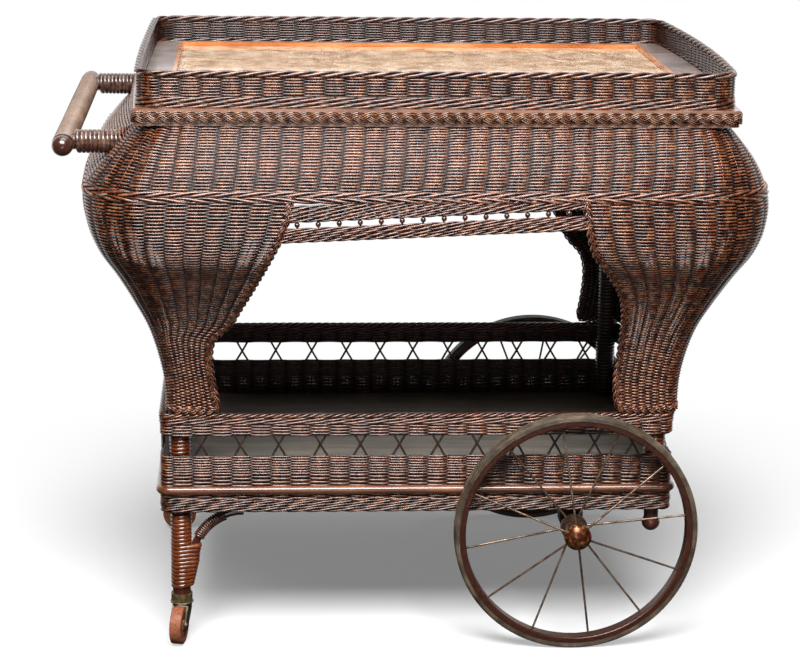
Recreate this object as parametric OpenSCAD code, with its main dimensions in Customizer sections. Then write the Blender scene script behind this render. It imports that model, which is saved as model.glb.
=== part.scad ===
// Victorian wicker serving trolley for cheese: a tray top on a bombe woven body with four
// hollow legs, an open shelf below, two wire wheels at one end and two casters at the other.
// Millimetres. The origin is on the floor at the middle of the trolley, +X is the wheel end
// and -Y is the front.

/* [Tray top] */
// Height of the top board's upper face
top_z = 800; // [790:1:806]
// Length of the top board over its braid
top_l = 838; // [834:1:844]
// Depth of the top board over its braid
top_w = 649; // [645:1:655]
// Thickness of the top board
top_t = 23; // [20:1:26]
// Height of the woven gallery round the tray
gallery_h = 50; // [40:1:60]
// Thickness of the gallery's weave
gallery_t = 7; // [6:0.5:8]
// Length of the inlaid panel
panel_l = 743; // [735:1:748]
// Depth of the inlaid panel
panel_w = 553; // [545:1:558]
// Thickness of the glass over the panel
glass_t = 4; // [3:0.5:5]

/* [Woven body] */
// Thickness of the woven shell
weave_t = 4.5; // [4:0.25:5]
// Half length of the body at the feet of the woven legs
foot_l = 367; // [366:0.5:368]
// Half depth of the body at the feet of the woven legs
foot_w = 262; // [261:0.5:263]
// Height of the twisted line that joins the legs to the upper body
waling_z = 688; // [684:1:692]
// Height of the lower edge of the arch band, at its middle
arch_z = 635; // [630:1:638]
// Height of the arch band
arch_h = 19.5; // [16:0.5:20]
// Height of the bead gap
bead_gap = 9.5; // [8:0.5:10]
// Rise of the arch from left to right, per millimetre
arch_rise = 0.046; // [0:0.002:0.05]
// Diameter of a bead
bead_d = 7.5; // [6:0.5:8]
// Spacing of the stakes and beads
stake_gap = 28.5; // [26:0.5:32]

/* [Shelf] */
// Height of the shelf board's upper face
shelf_z = 230; // [226:1:232]
// Half length of the shelf's woven wall
shelf_l = 371.5; // [370:0.5:373]
// Half depth of the shelf's woven wall
shelf_w = 261; // [260:0.5:262]
// Height of the shelf wall's upper edge
shelf_top_z = 350; // [348:1:351]

/* [Posts and handle] */
// Distance of a caster post from the shelf's middle along the trolley
post_dx = 343; // [342:0.5:344]
// Distance of a wheel-end post from the shelf's middle along the trolley
wheel_post_dx = 347; // [346:0.5:348]
// Distance of a post from the shelf's middle across the trolley
post_dy = 240; // [238:0.5:241]
// Radius of a post
post_r = 13; // [12:0.5:13]
// Height of the handle's centre
handle_z = 746; // [744:1:748]
// How far the handle's back end stands higher than its front end, in degrees
handle_tilt = 0.66; // [0:0.02:0.8]
// Distance of the crossbar from the middle of the trolley
handle_dx = 486; // [480:1:488]
// Distance of a handle arm from the middle of the trolley
arm_dy = 250; // [245:1:252]

/* [Wheels] */
// Diameter of a wheel over its tyre
wheel_d = 355; // [350:1:356]
// Distance of the axle from the middle of the trolley
axle_x = 241.5; // [235:0.5:245]
// Distance of a wheel's middle plane from the middle of the trolley
wheel_dy = 285; // [285:0.5:288]
// Radius of the axle
axle_r = 6; // [5:0.5:7]
// Number of spokes
spoke_n = 12; // [8:2:16]
// Diameter of a caster wheel
caster_d = 55; // [50:1:56]
// Trail of a caster wheel behind its swivel
caster_trail = 19; // [15:1:22]
// Heading of the front caster, turned about its swivel
front_caster_turn = -12; // [-180:1:180]
// Heading of the back caster, turned about its swivel
back_caster_turn = -90; // [-180:1:180]

/* [Cane windings] */
// Diameter of the winding cane
cane_d = 5.1; // [4.8:0.1:5.2]
// Pitch of the turns
cane_pitch = 5.9; // [5.8:0.1:6.2]
// Turns round a caster leg
leg_turns = 19; // [12:1:19]
// Turns round a handle arm
arm_turns = 12; // [8:1:12]

/* [Hidden] */
$fn = 96;

reed = "saddlebrown";
dark_wood = "#3a2018";

// The handmade body leans a little: its middle at each height.
top_x = 28.5;
shelf_x = 12;
lean = [[0, shelf_x], [352, 19.5], [480, 19], [600, 20.5], [660, 19], [688, 17.5],
        [720, 22.5], [777, top_x]];
// The belly: height, and how far the front and the back stand out from the foot of the legs.
belly = [[352, 0], [400, 2], [440, 9], [480, 24], [520, 47], [560, 74], [600, 101],
         [640, 113], [688, 109], [720, 96], [750, 76], [777, 50]];
// The same for the two ends, which swell less.
end_belly = [[352, 2], [400, 5], [440, 13], [480, 25], [520, 44], [560, 65], [600, 88],
             [640, 101], [688, 102], [720, 84], [750, 60], [777, 35]];
// How far the ends bow out in plan, and the corner radius in plan.
end_bow = [[352, 0], [480, 5], [640, 14], [777, 8]];
corner = [[352, 20], [480, 40], [600, 80], [688, 86], [777, 45]];
// Half width of the arch, from the legs' inner edges, on the left and on the right. Seen
// from behind, the back has the same shape as the front seen from the front.
arch_left = [[352, 295], [400, 304], [443, 307], [469, 300], [485, 283], [520, 264],
             [600, 225.5], [640, 206.5], [688, 191]];
arch_right = [[352, 281], [400, 277], [443, 280], [500, 280], [540, 270], [571, 251],
              [609, 223.5], [640, 214.5], [688, 209]];
// The end arches are narrower than the front and back ones.
end_arch = 0.66;

// A smooth curve through a table: each span is a cubic that takes its end slopes from the
// points on both sides.
function span(table, z, i = 0) =
    i >= len(table) - 2 || z < table[i + 1][0] ? i : span(table, z, i + 1);
function step(table, i) = (table[i + 1][1] - table[i][1]) / (table[i + 1][0] - table[i][0]);
function slope(table, i) =
    i == 0 ? step(table, 0)
    : i == len(table) - 1 ? step(table, i - 1)
    : let (h0 = table[i][0] - table[i - 1][0], h1 = table[i + 1][0] - table[i][0])
      (h0 * step(table, i) + h1 * step(table, i - 1)) / (h0 + h1);
function smooth(table, z) =
    let (i = span(table, z), h = table[i + 1][0] - table[i][0],
         t = max(0, min(1, (z - table[i][0]) / h)), u = 1 - t)
    u * u * (1 + 2 * t) * table[i][1] + t * t * (1 + 2 * u) * table[i + 1][1]
    + h * t * u * (u * slope(table, i) - t * slope(table, i + 1));

function mid_x(z) = smooth(lean, z);
function half_l(z) = foot_l + smooth(end_belly, z);
function half_w(z) = foot_w + smooth(belly, z) + lookup(z, [[700, 0], [777, 6]]);
function bow(z, y) = smooth(end_bow, z) * (1 - pow(y / half_w(z), 2));
function arch(side, z) = lookup(z, side < 0 ? arch_left : arch_right);

// A point of the body, x and y measured into one quadrant from the middle.
function body_point(sx, sy, x, y, z) = [mid_x(z) + sx * (x + bow(z, y)), sy * y, z];

// One quadrant's plan line at a height, from the front or back face round the corner to
// the end face. The line starts at half width gx, stops at half depth gy, and lies inset
// by d from the outer face.
flat_steps = 3;
corner_steps = 8;
function plan_line(sx, sy, z, d, gx, gy) =
    let (a = half_l(z), b = half_w(z), r = smooth(corner, z))
    concat(
        [for (i = [0:flat_steps - 1])
            body_point(sx, sy, gx + (a - r - gx) * i / flat_steps, b - d, z)],
        [for (i = [0:corner_steps])
            let (t = 90 * i / corner_steps)
            body_point(sx, sy, a - r + (r - d) * sin(t), b - r + (r - d) * cos(t), z)],
        [for (i = [1:flat_steps])
            body_point(sx, sy, a - d, b - r - (b - r - gy) * i / flat_steps, z)]);

function without_last(v) = [for (i = [0:len(v) - 2]) v[i]];
function backwards(v) = [for (i = [len(v) - 1:-1:0]) v[i]];

// The whole plan line, anticlockwise from the middle of the front.
function closed_line(z, d) = concat(
    without_last(plan_line(1, -1, z, d, 0, 0)),
    without_last(backwards(plan_line(1, 1, z, d, 0, 0))),
    without_last(plan_line(-1, 1, z, d, 0, 0)),
    without_last(backwards(plan_line(-1, -1, z, d, 0, 0))));

// A wall between rows of outer points and rows of inner points, bottom row first. The
// rows run anticlockwise in plan, or clockwise with turned set.
module wall(outer, inner, closed = false, turned = false) {
    m = len(outer);
    n = len(outer[0]);
    cols = closed ? n : n - 1;
    function o(j, i) = j * n + i % n;
    function q(j, i) = m * n + j * n + i % n;
    function two(a, b, c, d) = [[a, b, c], [a, c, d]];
    skin = [for (j = [0:m - 2]) for (i = [0:cols - 1])
        for (f = two(o(j, i), o(j + 1, i), o(j + 1, i + 1), o(j, i + 1))) f];
    lining = [for (j = [0:m - 2]) for (i = [0:cols - 1])
        for (f = two(q(j, i), q(j, i + 1), q(j + 1, i + 1), q(j + 1, i))) f];
    low = [for (i = [0:cols - 1])
        for (f = two(o(0, i), o(0, i + 1), q(0, i + 1), q(0, i))) f];
    high = [for (i = [0:cols - 1])
        for (f = two(o(m - 1, i), q(m - 1, i), q(m - 1, i + 1), o(m - 1, i + 1))) f];
    start = closed ? [] : [for (j = [0:m - 2])
        for (f = two(o(j, 0), q(j, 0), q(j + 1, 0), o(j + 1, 0))) f];
    finish = closed ? [] : [for (j = [0:m - 2])
        for (f = two(o(j, n - 1), o(j + 1, n - 1), q(j + 1, n - 1), q(j, n - 1))) f];
    faces = concat(skin, lining, low, high, start, finish);
    points = concat([for (row = outer) for (p = row) p], [for (row = inner) for (p = row) p]);
    polyhedron(points, [for (f = faces) turned ? [f[2], f[1], f[0]] : f]);
}

// Plan outline with round corners and bowed ends; bows gives the left and the right bow.
module outline(l, w, r, bows) {
    square([l - 2 * r, w], center = true);
    square([l, w - 2 * r], center = true);
    for (sx = [-1, 1]) {
        b = bows[sx < 0 ? 0 : 1];
        for (sy = [-1, 1]) translate([sx * (l / 2 - r), sy * (w / 2 - r)]) circle(r);
        if (b > 0) intersection() {
            chord = w / 2 - r - 4;
            sweep_r = (chord * chord + b * b) / (2 * b);
            translate([sx * (l / 2 + b - sweep_r), 0]) circle(sweep_r, $fn = 360);
            translate([sx * l / 4, 0]) square([l / 2 + 2 * b, 2 * chord + 4], center = true);
        }
    }
}

// An upright ring that follows the outline, t thick, its outer face on the outline.
module ring(l, w, r, bows, t, z0, z1) {
    translate([0, 0, z0]) linear_extrude(z1 - z0) difference() {
        outline(l, w, r, bows);
        outline(l - 2 * t, w - 2 * t, r - t, bows);
    }
}

// ---- Tray top ----
gallery_l = 829;
gallery_w = 625;
top_bow = [9, 9];
gallery_bow = [3, 11];
no_bow = [0, 0];
top_r = 12;
tray_l = gallery_l - 2 * gallery_t;
tray_w = gallery_w - 2 * gallery_t;
braid_t = 3;
frame_h = 11;
panel_h = 3;
bead_w = 5;
bead_h = 10;

module top_board() {
    color(dark_wood) translate([top_x, 0, top_z - top_t])
        linear_extrude(top_t) outline(top_l - 2 * braid_t, top_w - 2 * braid_t, top_r - braid_t, top_bow);
}

module edge_braid() {
    color(reed) translate([top_x, 0, 0])
        ring(top_l, top_w, top_r, top_bow, braid_t, top_z - 19, top_z - 3);
}

module gallery_wall() {
    color(reed) translate([top_x, 0, 0])
        ring(gallery_l, gallery_w, 34, gallery_bow, gallery_t, top_z, top_z + gallery_h - 8);
}

module gallery_rim() {
    color(reed) translate([top_x, 0, 0])
        ring(gallery_l + 1, gallery_w + 1, 34.5, gallery_bow, gallery_t + 1,
             top_z + gallery_h - 8, top_z + gallery_h);
}

module tray_frame() {
    color(dark_wood) translate([top_x, 0, top_z]) linear_extrude(frame_h) difference() {
        outline(tray_l, tray_w, 27, gallery_bow);
        square([panel_l, panel_w], center = true);
    }
}

module tray_panel() {
    color("tan") translate([top_x - panel_l / 2, -panel_w / 2, top_z])
        cube([panel_l, panel_w, panel_h]);
}

module tray_glass() {
    long = panel_l - 2 * bead_w;
    deep = panel_w - 2 * bead_w;
    color("lightcyan", 0.35) translate([top_x - long / 2, -deep / 2, top_z + panel_h])
        cube([long, deep, glass_t]);
}

module tray_bead() {
    color("sienna") translate([top_x, 0, top_z + panel_h]) linear_extrude(bead_h)
        difference() {
            square([panel_l, panel_w], center = true);
            square([panel_l - 2 * bead_w, panel_w - 2 * bead_w], center = true);
        }
}

// ---- Frame inside the body ----
rail_t = 20;
rail_h = 50;
rail_z = top_z - top_t - rail_h;
post_side = 26;

module post_places(sides) {
    for (sx = sides) for (sy = [-1, 1])
        translate([shelf_x + (sx < 0 ? -post_dx : wheel_post_dx), sy * post_dy, 0]) children();
}

// Rails from post to post, stopping at the square heads.
module rail_ring(z0, h, head) {
    long = post_dx + wheel_post_dx - head;
    short = 2 * post_dy - head;
    for (s = [-1, 1]) translate([shelf_x - post_dx + head / 2, s * post_dy - rail_t / 2, z0])
        cube([long, rail_t, h]);
    for (x = [-post_dx, wheel_post_dx]) translate([shelf_x + x - rail_t / 2, -short / 2, z0])
        cube([rail_t, short, h]);
}

module top_rails() {
    color(dark_wood) rail_ring(rail_z, rail_h, post_side);
}

module post_head() {
    translate([-post_side / 2, -post_side / 2, rail_z - 20])
        cube([post_side, post_side, rail_h + 20]);
}

board_t = 12;
low_rail_h = 18;
rail_low_z = shelf_z - board_t - low_rail_h;
leg_core_r = 10.3;
socket_z = 57;
cup_floor = 2;
sleeve_r = 7;
sleeve_h = 40;
stem_r = 5;

module caster_posts() {
    color("sienna") post_places([-1]) difference() {
        union() {
            translate([0, 0, rail_low_z]) cylinder(h = rail_z - rail_low_z - 10, r = post_r);
            translate([0, 0, socket_z + cup_floor])
                cylinder(h = rail_low_z - socket_z - cup_floor, r = leg_core_r);
            translate([0, 0, socket_z + 15]) cylinder(h = 9, r = post_r);
            post_head();
        }
        translate([0, 0, socket_z - 1]) cylinder(h = sleeve_h + 1, r = sleeve_r);
    }
}

knob_z = 187;

module wheel_end_posts() {
    color("sienna") post_places([1]) union() {
        translate([0, 0, rail_low_z]) cylinder(h = rail_z - rail_low_z - 10, r = post_r);
        post_head();
    }
}

module foot_knobs() {
    color(dark_wood) post_places([1]) rotate_extrude() {
        intersection() {
            translate([0, knob_z - 10.5]) circle(13.3);
            translate([0, knob_z - 23.5]) square([14, 23.5]);
        }
        translate([0, knob_z - 4]) square([10.5, rail_low_z - knob_z + 4]);
    }
}

// ---- Woven body ----
leg_levels = [shelf_top_z, 376, 400, 420, 440, 460, 480, 500, 520, 540, 560, 580, 600, 620,
              640, 664, waling_z];

module woven_leg(sx, sy) {
    outer = [for (z = leg_levels)
        plan_line(sx, sy, z, 0, arch(-sx * sy, z), end_arch * arch(sx, z))];
    inner = [for (z = leg_levels)
        plan_line(sx, sy, z, weave_t, arch(-sx * sy, z), end_arch * arch(sx, z))];
    color(reed) wall(outer, inner, turned = sx * sy > 0);
}

module front_left_leg() { woven_leg(-1, -1); }
module front_right_leg() { woven_leg(1, -1); }
module back_left_leg() { woven_leg(-1, 1); }
module back_right_leg() { woven_leg(1, 1); }

upper_levels = [waling_z, 704, 720, 735, 750, 764, top_z - top_t];

module upper_weave() {
    color(reed) difference() {
        wall([for (z = upper_levels) closed_line(z, 0)],
             [for (z = upper_levels) closed_line(z, weave_t)], closed = true);
        arm_places() cylinder(h = handle_dx - post_dx, r = 17.8);
    }
}

// A band of the arch on a long side (end = 0) or on an end (end = -1 left, 1 right),
// between two heights above the floor at the middle. Only long sides rise to the right.
// The band stops just short of the legs' edges.
band_steps = 12;
band_clear = 0.4;
function band_end(side, sy, z, rise) =
    let (half = arch(-side * sy, z))
    side * (arch(-side * sy, z + rise * side * half) - band_clear);
function band_place(sy, end, z, d, t, rise) = end == 0
    ? let (x0 = band_end(-1, sy, z, rise), x = x0 + (band_end(1, sy, z, rise) - x0) * t,
           zz = z + rise * x)
      [mid_x(zz) + x, sy * (half_w(zz) - d), zz]
    : let (y = (end_arch * arch(end, z) - band_clear) * (2 * t - 1))
      [mid_x(z) + end * (half_l(z) - d + bow(z, y)), y, z];
module band(sy, end, z0, z1, flat_top) {
    function at(z, d) = [for (i = [0:band_steps])
        band_place(sy, end, z, d, i / band_steps, z == z1 && flat_top ? 0 : arch_rise)];
    wall([at(z0, 0), at(z1, 0)], [at(z0, weave_t), at(z1, weave_t)],
         turned = end == 0 ? sy > 0 : end < 0);
}

gap_z0 = arch_z + arch_h;
gap_z1 = gap_z0 + bead_gap;
bead_n = 14;
end_bead_n = 8;

// Places of the beads and of the short stakes that carry them.
module bead_places(sy, end) {
    n = end == 0 ? bead_n : end_bead_n;
    for (i = [0:n - 1]) {
        x = (i - (n - 1) / 2) * stake_gap;
        zm = (gap_z0 + gap_z1) / 2 + (end == 0 ? arch_rise * x : 0);
        if (end == 0)
            translate([mid_x(zm) + x, sy * (half_w(zm) - weave_t / 2), zm]) children();
        else
            translate([mid_x(zm) + end * (half_l(zm) - weave_t / 2 + bow(zm, x)), x, zm])
                children();
    }
}

module woven_arch(sy, end) {
    color(reed) {
        band(sy, end, arch_z, gap_z0, false);
        band(sy, end, gap_z1, waling_z, true);
        bead_places(sy, end) cylinder(h = bead_gap + 2, r = 1.4, center = true);
    }
}

module front_arch() { woven_arch(-1, 0); }
module back_arch() { woven_arch(1, 0); }
module left_arch() { woven_arch(0, -1); }
module right_arch() { woven_arch(0, 1); }

module bead() {
    difference() {
        sphere(d = bead_d, $fn = 32);
        cylinder(h = bead_d, r = 1.45, center = true, $fn = 24);
    }
}

module arch_beads() {
    color("peru") {
        for (sy = [-1, 1]) bead_places(sy, 0) bead();
        for (sx = [-1, 1]) bead_places(0, sx) bead();
    }
}

// ---- Shelf ----
shelf_t = 5;
wall_z1 = 287;
upper_z0 = 317;
apron_z = 201;
shelf_r = 14;
moulding_r = 6.5;

module shelf_ring(z0, z1) {
    translate([shelf_x, 0, 0]) ring(2 * shelf_l, 2 * shelf_w, shelf_r, no_bow, shelf_t, z0, z1);
}

module shelf_board() {
    color("dimgray") difference() {
        translate([shelf_x, 0, shelf_z - board_t]) linear_extrude(board_t)
            outline(2 * (shelf_l - shelf_t), 2 * (shelf_w - shelf_t), shelf_r - shelf_t, no_bow);
        post_places([-1, 1]) cylinder(h = shelf_z + 1, r = post_r);
    }
}

module shelf_frame() {
    color(dark_wood) difference() {
        rail_ring(rail_low_z, low_rail_h, 0);
        post_places([-1, 1]) cylinder(h = shelf_z, r = post_r);
    }
}

// Half-round moulding: straight lengths along the sides and quarter turns at the corners.
module half_round() {
    intersection() {
        circle(moulding_r);
        translate([0, -moulding_r]) square([moulding_r, 2 * moulding_r]);
    }
}

module shelf_moulding() {
    straight_l = 2 * (shelf_l - shelf_r);
    straight_w = 2 * (shelf_w - shelf_r);
    color("sienna") translate([shelf_x, 0, shelf_z + moulding_r - 1]) {
        for (s = [0, 180]) {
            rotate([0, 0, s]) translate([-straight_l / 2, -shelf_w, 0]) rotate([90, 0, 90])
                linear_extrude(straight_l) mirror([1, 0]) half_round();
            rotate([0, 0, s + 90]) translate([-straight_w / 2, -shelf_l, 0]) rotate([90, 0, 90])
                linear_extrude(straight_w) mirror([1, 0]) half_round();
        }
        for (c = [[1, 1, 0], [-1, 1, 90], [-1, -1, 180], [1, -1, 270]])
            translate([c[0] * straight_l / 2, c[1] * straight_w / 2, 0]) rotate([0, 0, c[2]])
                rotate_extrude(angle = 90) translate([shelf_r, 0]) half_round();
    }
}

module shelf_wall() {
    color(reed) shelf_ring(shelf_z - board_t, wall_z1);
}

module shelf_wall_top() {
    color(reed) shelf_ring(upper_z0, shelf_top_z);
}

module shelf_apron() {
    color(reed) shelf_ring(apron_z, shelf_z - board_t);
}

// A row of crossed stakes between the two bands of the shelf wall.
cross_n = 12;
end_cross_n = 8;
cross_w = 17;
cross_r = 1.8;
module lattice(n, long) {
    h = upper_z0 - wall_z1;
    lean_angle = atan(cross_w / h);
    color(reed) intersection() {
        for (i = [0:n - 1]) for (s = [-1, 1])
            translate([(i - (n - 1) / 2) * 2 * stake_gap, s * 0.6, wall_z1 + h / 2])
                rotate([0, s * lean_angle, 0]) cylinder(h = 2 * h, r = cross_r, center = true);
        translate([-long, -5, wall_z1]) cube([2 * long, 10, h]);
    }
}

module front_lattice() {
    translate([shelf_x, -shelf_w + shelf_t / 2, 0]) lattice(cross_n, shelf_l);
}
module back_lattice() {
    translate([shelf_x, shelf_w - shelf_t / 2, 0]) lattice(cross_n, shelf_l);
}
module left_lattice() {
    translate([shelf_x - shelf_l + shelf_t / 2, 0, 0]) rotate([0, 0, 90])
        lattice(end_cross_n, shelf_w);
}
module right_lattice() {
    translate([shelf_x + shelf_l - shelf_t / 2, 0, 0]) rotate([0, 0, 90])
        lattice(end_cross_n, shelf_w);
}

// ---- Caster legs: bent brackets and cane windings ----
bracket_r = 5.5;
bracket_x = leg_core_r + bracket_r + 0.2;
bracket_bend = 75;
bracket_z0 = 82;
bracket_tip = 1;
bend_z = 122;
bracket_sides = 16;

// The bracket's radius at a height: below the bend it tapers, lying against the post.
function bracket_radius(z) =
    bracket_tip + (bracket_r - bracket_tip) * max(0, min(1, (z - bracket_z0) / (bend_z - bracket_z0)));

// Distance of the bracket's middle line from the post's, at a height.
function bracket_at(z) = z < bend_z
    ? bracket_x - bracket_r + bracket_radius(z)
    : bracket_x + bracket_bend - sqrt(pow(bracket_bend, 2) - pow(z - bend_z, 2));

// One ring of the bent part, at an angle of the bend.
function bend_ring(t) =
    [[bracket_x + bracket_bend * (1 - cos(t)), 0, bend_z + bracket_bend * sin(t)],
     [cos(t), 0, -sin(t)], [0, -1, 0]];

module leg_brackets() {
    tip = bracket_tip / bracket_r;
    foot = [[bracket_at(bracket_z0), 0, bracket_z0], [tip, 0, 0], [0, -tip, 0]];
    color("sienna") post_places([-1]) difference() {
        tube(concat([foot], [for (t = [0:7.5:90]) bend_ring(t)]), bracket_r, bracket_sides);
        translate([0, -20, rail_low_z]) cube([120, 40, 60]);
    }
}

// A wrapping of fine cane round the bent part, drawn as a plain sleeve.
module bracket_wraps() {
    color("saddlebrown") post_places([-1]) difference() {
        tube([for (t = [30:7.5:67.5]) bend_ring(t)], bracket_r + 1.8, bracket_sides);
        tube([for (t = [22.5:7.5:75]) bend_ring(t)], bracket_r, bracket_sides);
    }
}

// Sweep of a round section, given for each ring its centre and its two cross directions.
module tube(rings, r, k = 5) {
    n = len(rings);
    points = [for (g = rings) for (s = [0:k - 1])
        g[0] + r * (cos(360 * s / k) * g[1] + sin(360 * s / k) * g[2])];
    sides = [for (i = [0:n - 2]) for (s = [0:k - 1]) for (f = [
        [i * k + s, i * k + (s + 1) % k, (i + 1) * k + (s + 1) % k],
        [i * k + s, (i + 1) * k + (s + 1) % k, (i + 1) * k + s]]) f];
    caps = [for (s = [1:k - 2]) for (f = [
        [0, s + 1, s],
        [(n - 1) * k, (n - 1) * k + s, (n - 1) * k + s + 1]]) f];
    polyhedron(points, concat(sides, caps));
}

// Winding path round a core of radius core_r, starting at the back. Up to height split_z
// it takes in the bracket beside the post as well; the ends tuck straight into the core.
loop_rings = 14;
cane_gap = 0.1;
function wound_at(core_r, a, z, split_z) =
    let (side = z < split_z ? bracket_at(z) : 0,
         small = bracket_radius(z) + cane_d / 2 + cane_gap,
         big = core_r + cane_d / 2 + cane_gap)
    side * cos(a) > core_r - bracket_radius(z)
        ? [side + small * cos(a), small * sin(a), z]
        : [big * cos(a), big * sin(a), z];
function along(a) = [-sin(a), cos(a), 0];
function away(a) = [cos(a), sin(a), 0];
function winding(core_r, turns, z0, split_z) =
    let (up = [0, 0, 1], a0 = 180, a1 = a0 + 360 * turns, z1 = z0 + cane_pitch * turns,
         first = wound_at(core_r, a0, z0, split_z), last = wound_at(core_r, a1, z1, split_z))
    concat(
        [[first - cane_d * away(a0), -along(a0), up], [first, away(a0) - along(a0), up]],
        [for (i = [1:loop_rings * turns - 1])
            let (a = a0 + 360 * i / loop_rings, z = z0 + cane_pitch * i / loop_rings)
            [wound_at(core_r, a, z, split_z), away(a), up]],
        [[last, away(a1) + along(a1), up], [last - cane_d * away(a1), along(a1), up]]);

// Least distance between the middle lines of turns that lie beside each other.
function least_gap(rings) = min([for (i = [1:len(rings) - 2 - loop_rings])
    for (j = [i + round(loop_rings * 0.75):min(len(rings) - 2, i + round(loop_rings * 1.25))])
        norm(rings[i][0] - rings[j][0])]) - cane_d;

arm_core_r = 11.5;
leg_wind_z = 84;
leg_split_z = 146;
leg_rings = winding(leg_core_r, leg_turns, leg_wind_z, leg_split_z);
arm_rings = winding(arm_core_r, arm_turns, 0, -1);
echo(str("least gap of a leg winding to itself: ", least_gap(leg_rings), " mm"));
echo(str("least gap of an arm winding to itself: ", least_gap(arm_rings), " mm"));

module leg_windings() {
    color("chocolate") post_places([-1]) tube(leg_rings, cane_d / 2);
}

// ---- Handle ----
bar_r = 12;
wrap_t = 3.5;
bar_half = 300;
wrap_half = 268;
arm_wind_x = 19;

// The crossbar's place: its line runs along Z, towards the front.
module bar_place() {
    translate([-handle_dx, 0, handle_z]) rotate([90 + handle_tilt, 0, 0]) children();
}

module handle_bar() {
    color("sienna") bar_place() {
        cylinder(h = 2 * wrap_half, r = bar_r, center = true);
        for (s = [0, 180]) rotate([s, 0, 0]) translate([0, 0, wrap_half]) rotate_extrude() {
            square([bar_r, bar_half - wrap_half - 14.5]);
            translate([0, 2]) square([15, 5]);
            intersection() {
                translate([0, bar_half - wrap_half - 14.5]) circle(14.5);
                square([15, bar_half - wrap_half]);
            }
        }
    }
}

module arm_places() {
    for (s = [-1, 1]) translate([-handle_dx, 0, handle_z]) rotate([handle_tilt, 0, 0])
        translate([0, s * arm_dy, 0]) rotate([0, 90, 0]) children();
}

module handle_bar_wrap() {
    color("burlywood") difference() {
        bar_place() difference() {
            cylinder(h = 2 * wrap_half, r = bar_r + wrap_t, center = true);
            cylinder(h = 2 * wrap_half + 2, r = bar_r, center = true);
        }
        arm_places() cylinder(h = 60, r = arm_core_r);
    }
}

module handle_arms() {
    arm_len = handle_dx + shelf_x - post_dx - post_side / 2;
    color("sienna") difference() {
        arm_places() cylinder(h = arm_len, r = arm_core_r);
        bar_place() cylinder(h = 2 * bar_half, r = bar_r, center = true);
    }
}

module arm_windings() {
    color("chocolate") arm_places() translate([0, 0, arm_wind_x]) tube(arm_rings, cane_d / 2);
}

// ---- Axle and wheels ----
axle_z = wheel_d / 2;
hub_half = 22;
hub_r = 15;
flange_r = 19.5;
flange_t = 4;
tyre_t = 7.5;
rim_t = 9;
rim_w = 20;
spoke_r = 1.6;
run_gap = 0.05;
first_spoke = 8.5;

module axle() {
    half = wheel_dy + hub_half + 9;
    color("gray") translate([axle_x, 0, axle_z]) rotate([90, 0, 0]) {
        cylinder(h = 2 * half, r = axle_r, center = true);
        for (s = [-1, 1]) translate([0, 0, s * (wheel_dy - hub_half - 4)])
            cylinder(h = 6, r = 13, center = true);
    }
}

module axle_hangers() {
    top = rail_low_z + low_rail_h;
    for (s = [-1, 1]) color(dark_wood) difference() {
        union() {
            translate([axle_x, s * 222, axle_z]) rotate([90, 0, 0])
                cylinder(h = 26, r = 17, center = true);
            translate([axle_x - 17, s * 222 - 13, axle_z]) cube([34, 26, top - axle_z]);
        }
        translate([axle_x, s * 222, axle_z]) rotate([90, 0, 0])
            cylinder(h = 30, r = axle_r, center = true);
        translate([axle_x - 30, s * post_dy - rail_t / 2, rail_low_z]) cube([60, rail_t, 30]);
    }
}

// Hexagon nuts that hold the wheels on, inside the hub caps.
module axle_nuts() {
    for (s = [-1, 1]) color("dimgray") translate([axle_x, s * (wheel_dy + hub_half + 4.5), axle_z])
        rotate([90, 0, 0]) difference() {
            cylinder(h = 7, r = 11, center = true, $fn = 6);
            cylinder(h = 8, r = axle_r, center = true);
        }
}

// Wheel parts lie round the Z axis with the outer side up; wheel_place stands them up.
module wheel_place(s) {
    translate([axle_x, s * wheel_dy, axle_z]) rotate([s < 0 ? 90 : -90, 0, 0]) children();
}

// Spokes go by turns to the outer and to the inner flange.
module spoke_rods() {
    for (i = [0:spoke_n - 1]) {
        flange_z = (i % 2 == 0 ? -1 : 1) * (hub_half - flange_t / 2);
        from = flange_r - 4;
        reach = axle_z - tyre_t - rim_t + 2 - from;
        rotate([0, 0, first_spoke + i * 360 / spoke_n]) translate([from, 0, flange_z])
            rotate([0, 90 + atan(flange_z / reach), 0])
                cylinder(h = norm([reach, flange_z]), r = spoke_r, $fn = 24);
    }
}

module tyre() {
    rotate_extrude($fn = 180) translate([axle_z - tyre_t, 0]) difference() {
        union() {
            translate([0, -11]) square([tyre_t - 3, 22]);
            translate([0, -8]) square([tyre_t, 16]);
            for (s = [-1, 1]) translate([tyre_t - 3, s * 8]) circle(3, $fn = 32);
        }
        for (s = [-1, 1]) translate([tyre_t - 1.2, s * 3.5 - 0.9]) square([2, 1.8]);
    }
}

module rim() {
    difference() {
        rotate_extrude($fn = 180) translate([axle_z - tyre_t - rim_t, 0]) union() {
            translate([0, -rim_w / 2 + 2]) square([rim_t, rim_w - 4]);
            translate([2, -rim_w / 2]) square([rim_t - 2, rim_w]);
            for (s = [-1, 1]) translate([2, s * (rim_w / 2 - 2)]) circle(2, $fn = 32);
        }
        spoke_rods();
    }
}

module hub() {
    difference() {
        union() {
            cylinder(h = 2 * hub_half, r = hub_r, center = true);
            for (s = [-1, 1]) translate([0, 0, s * (hub_half - flange_t / 2)])
                cylinder(h = flange_t, r = flange_r, center = true);
        }
        cylinder(h = 2 * hub_half + 2, r = axle_r + run_gap, center = true);
        spoke_rods();
    }
}

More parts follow.
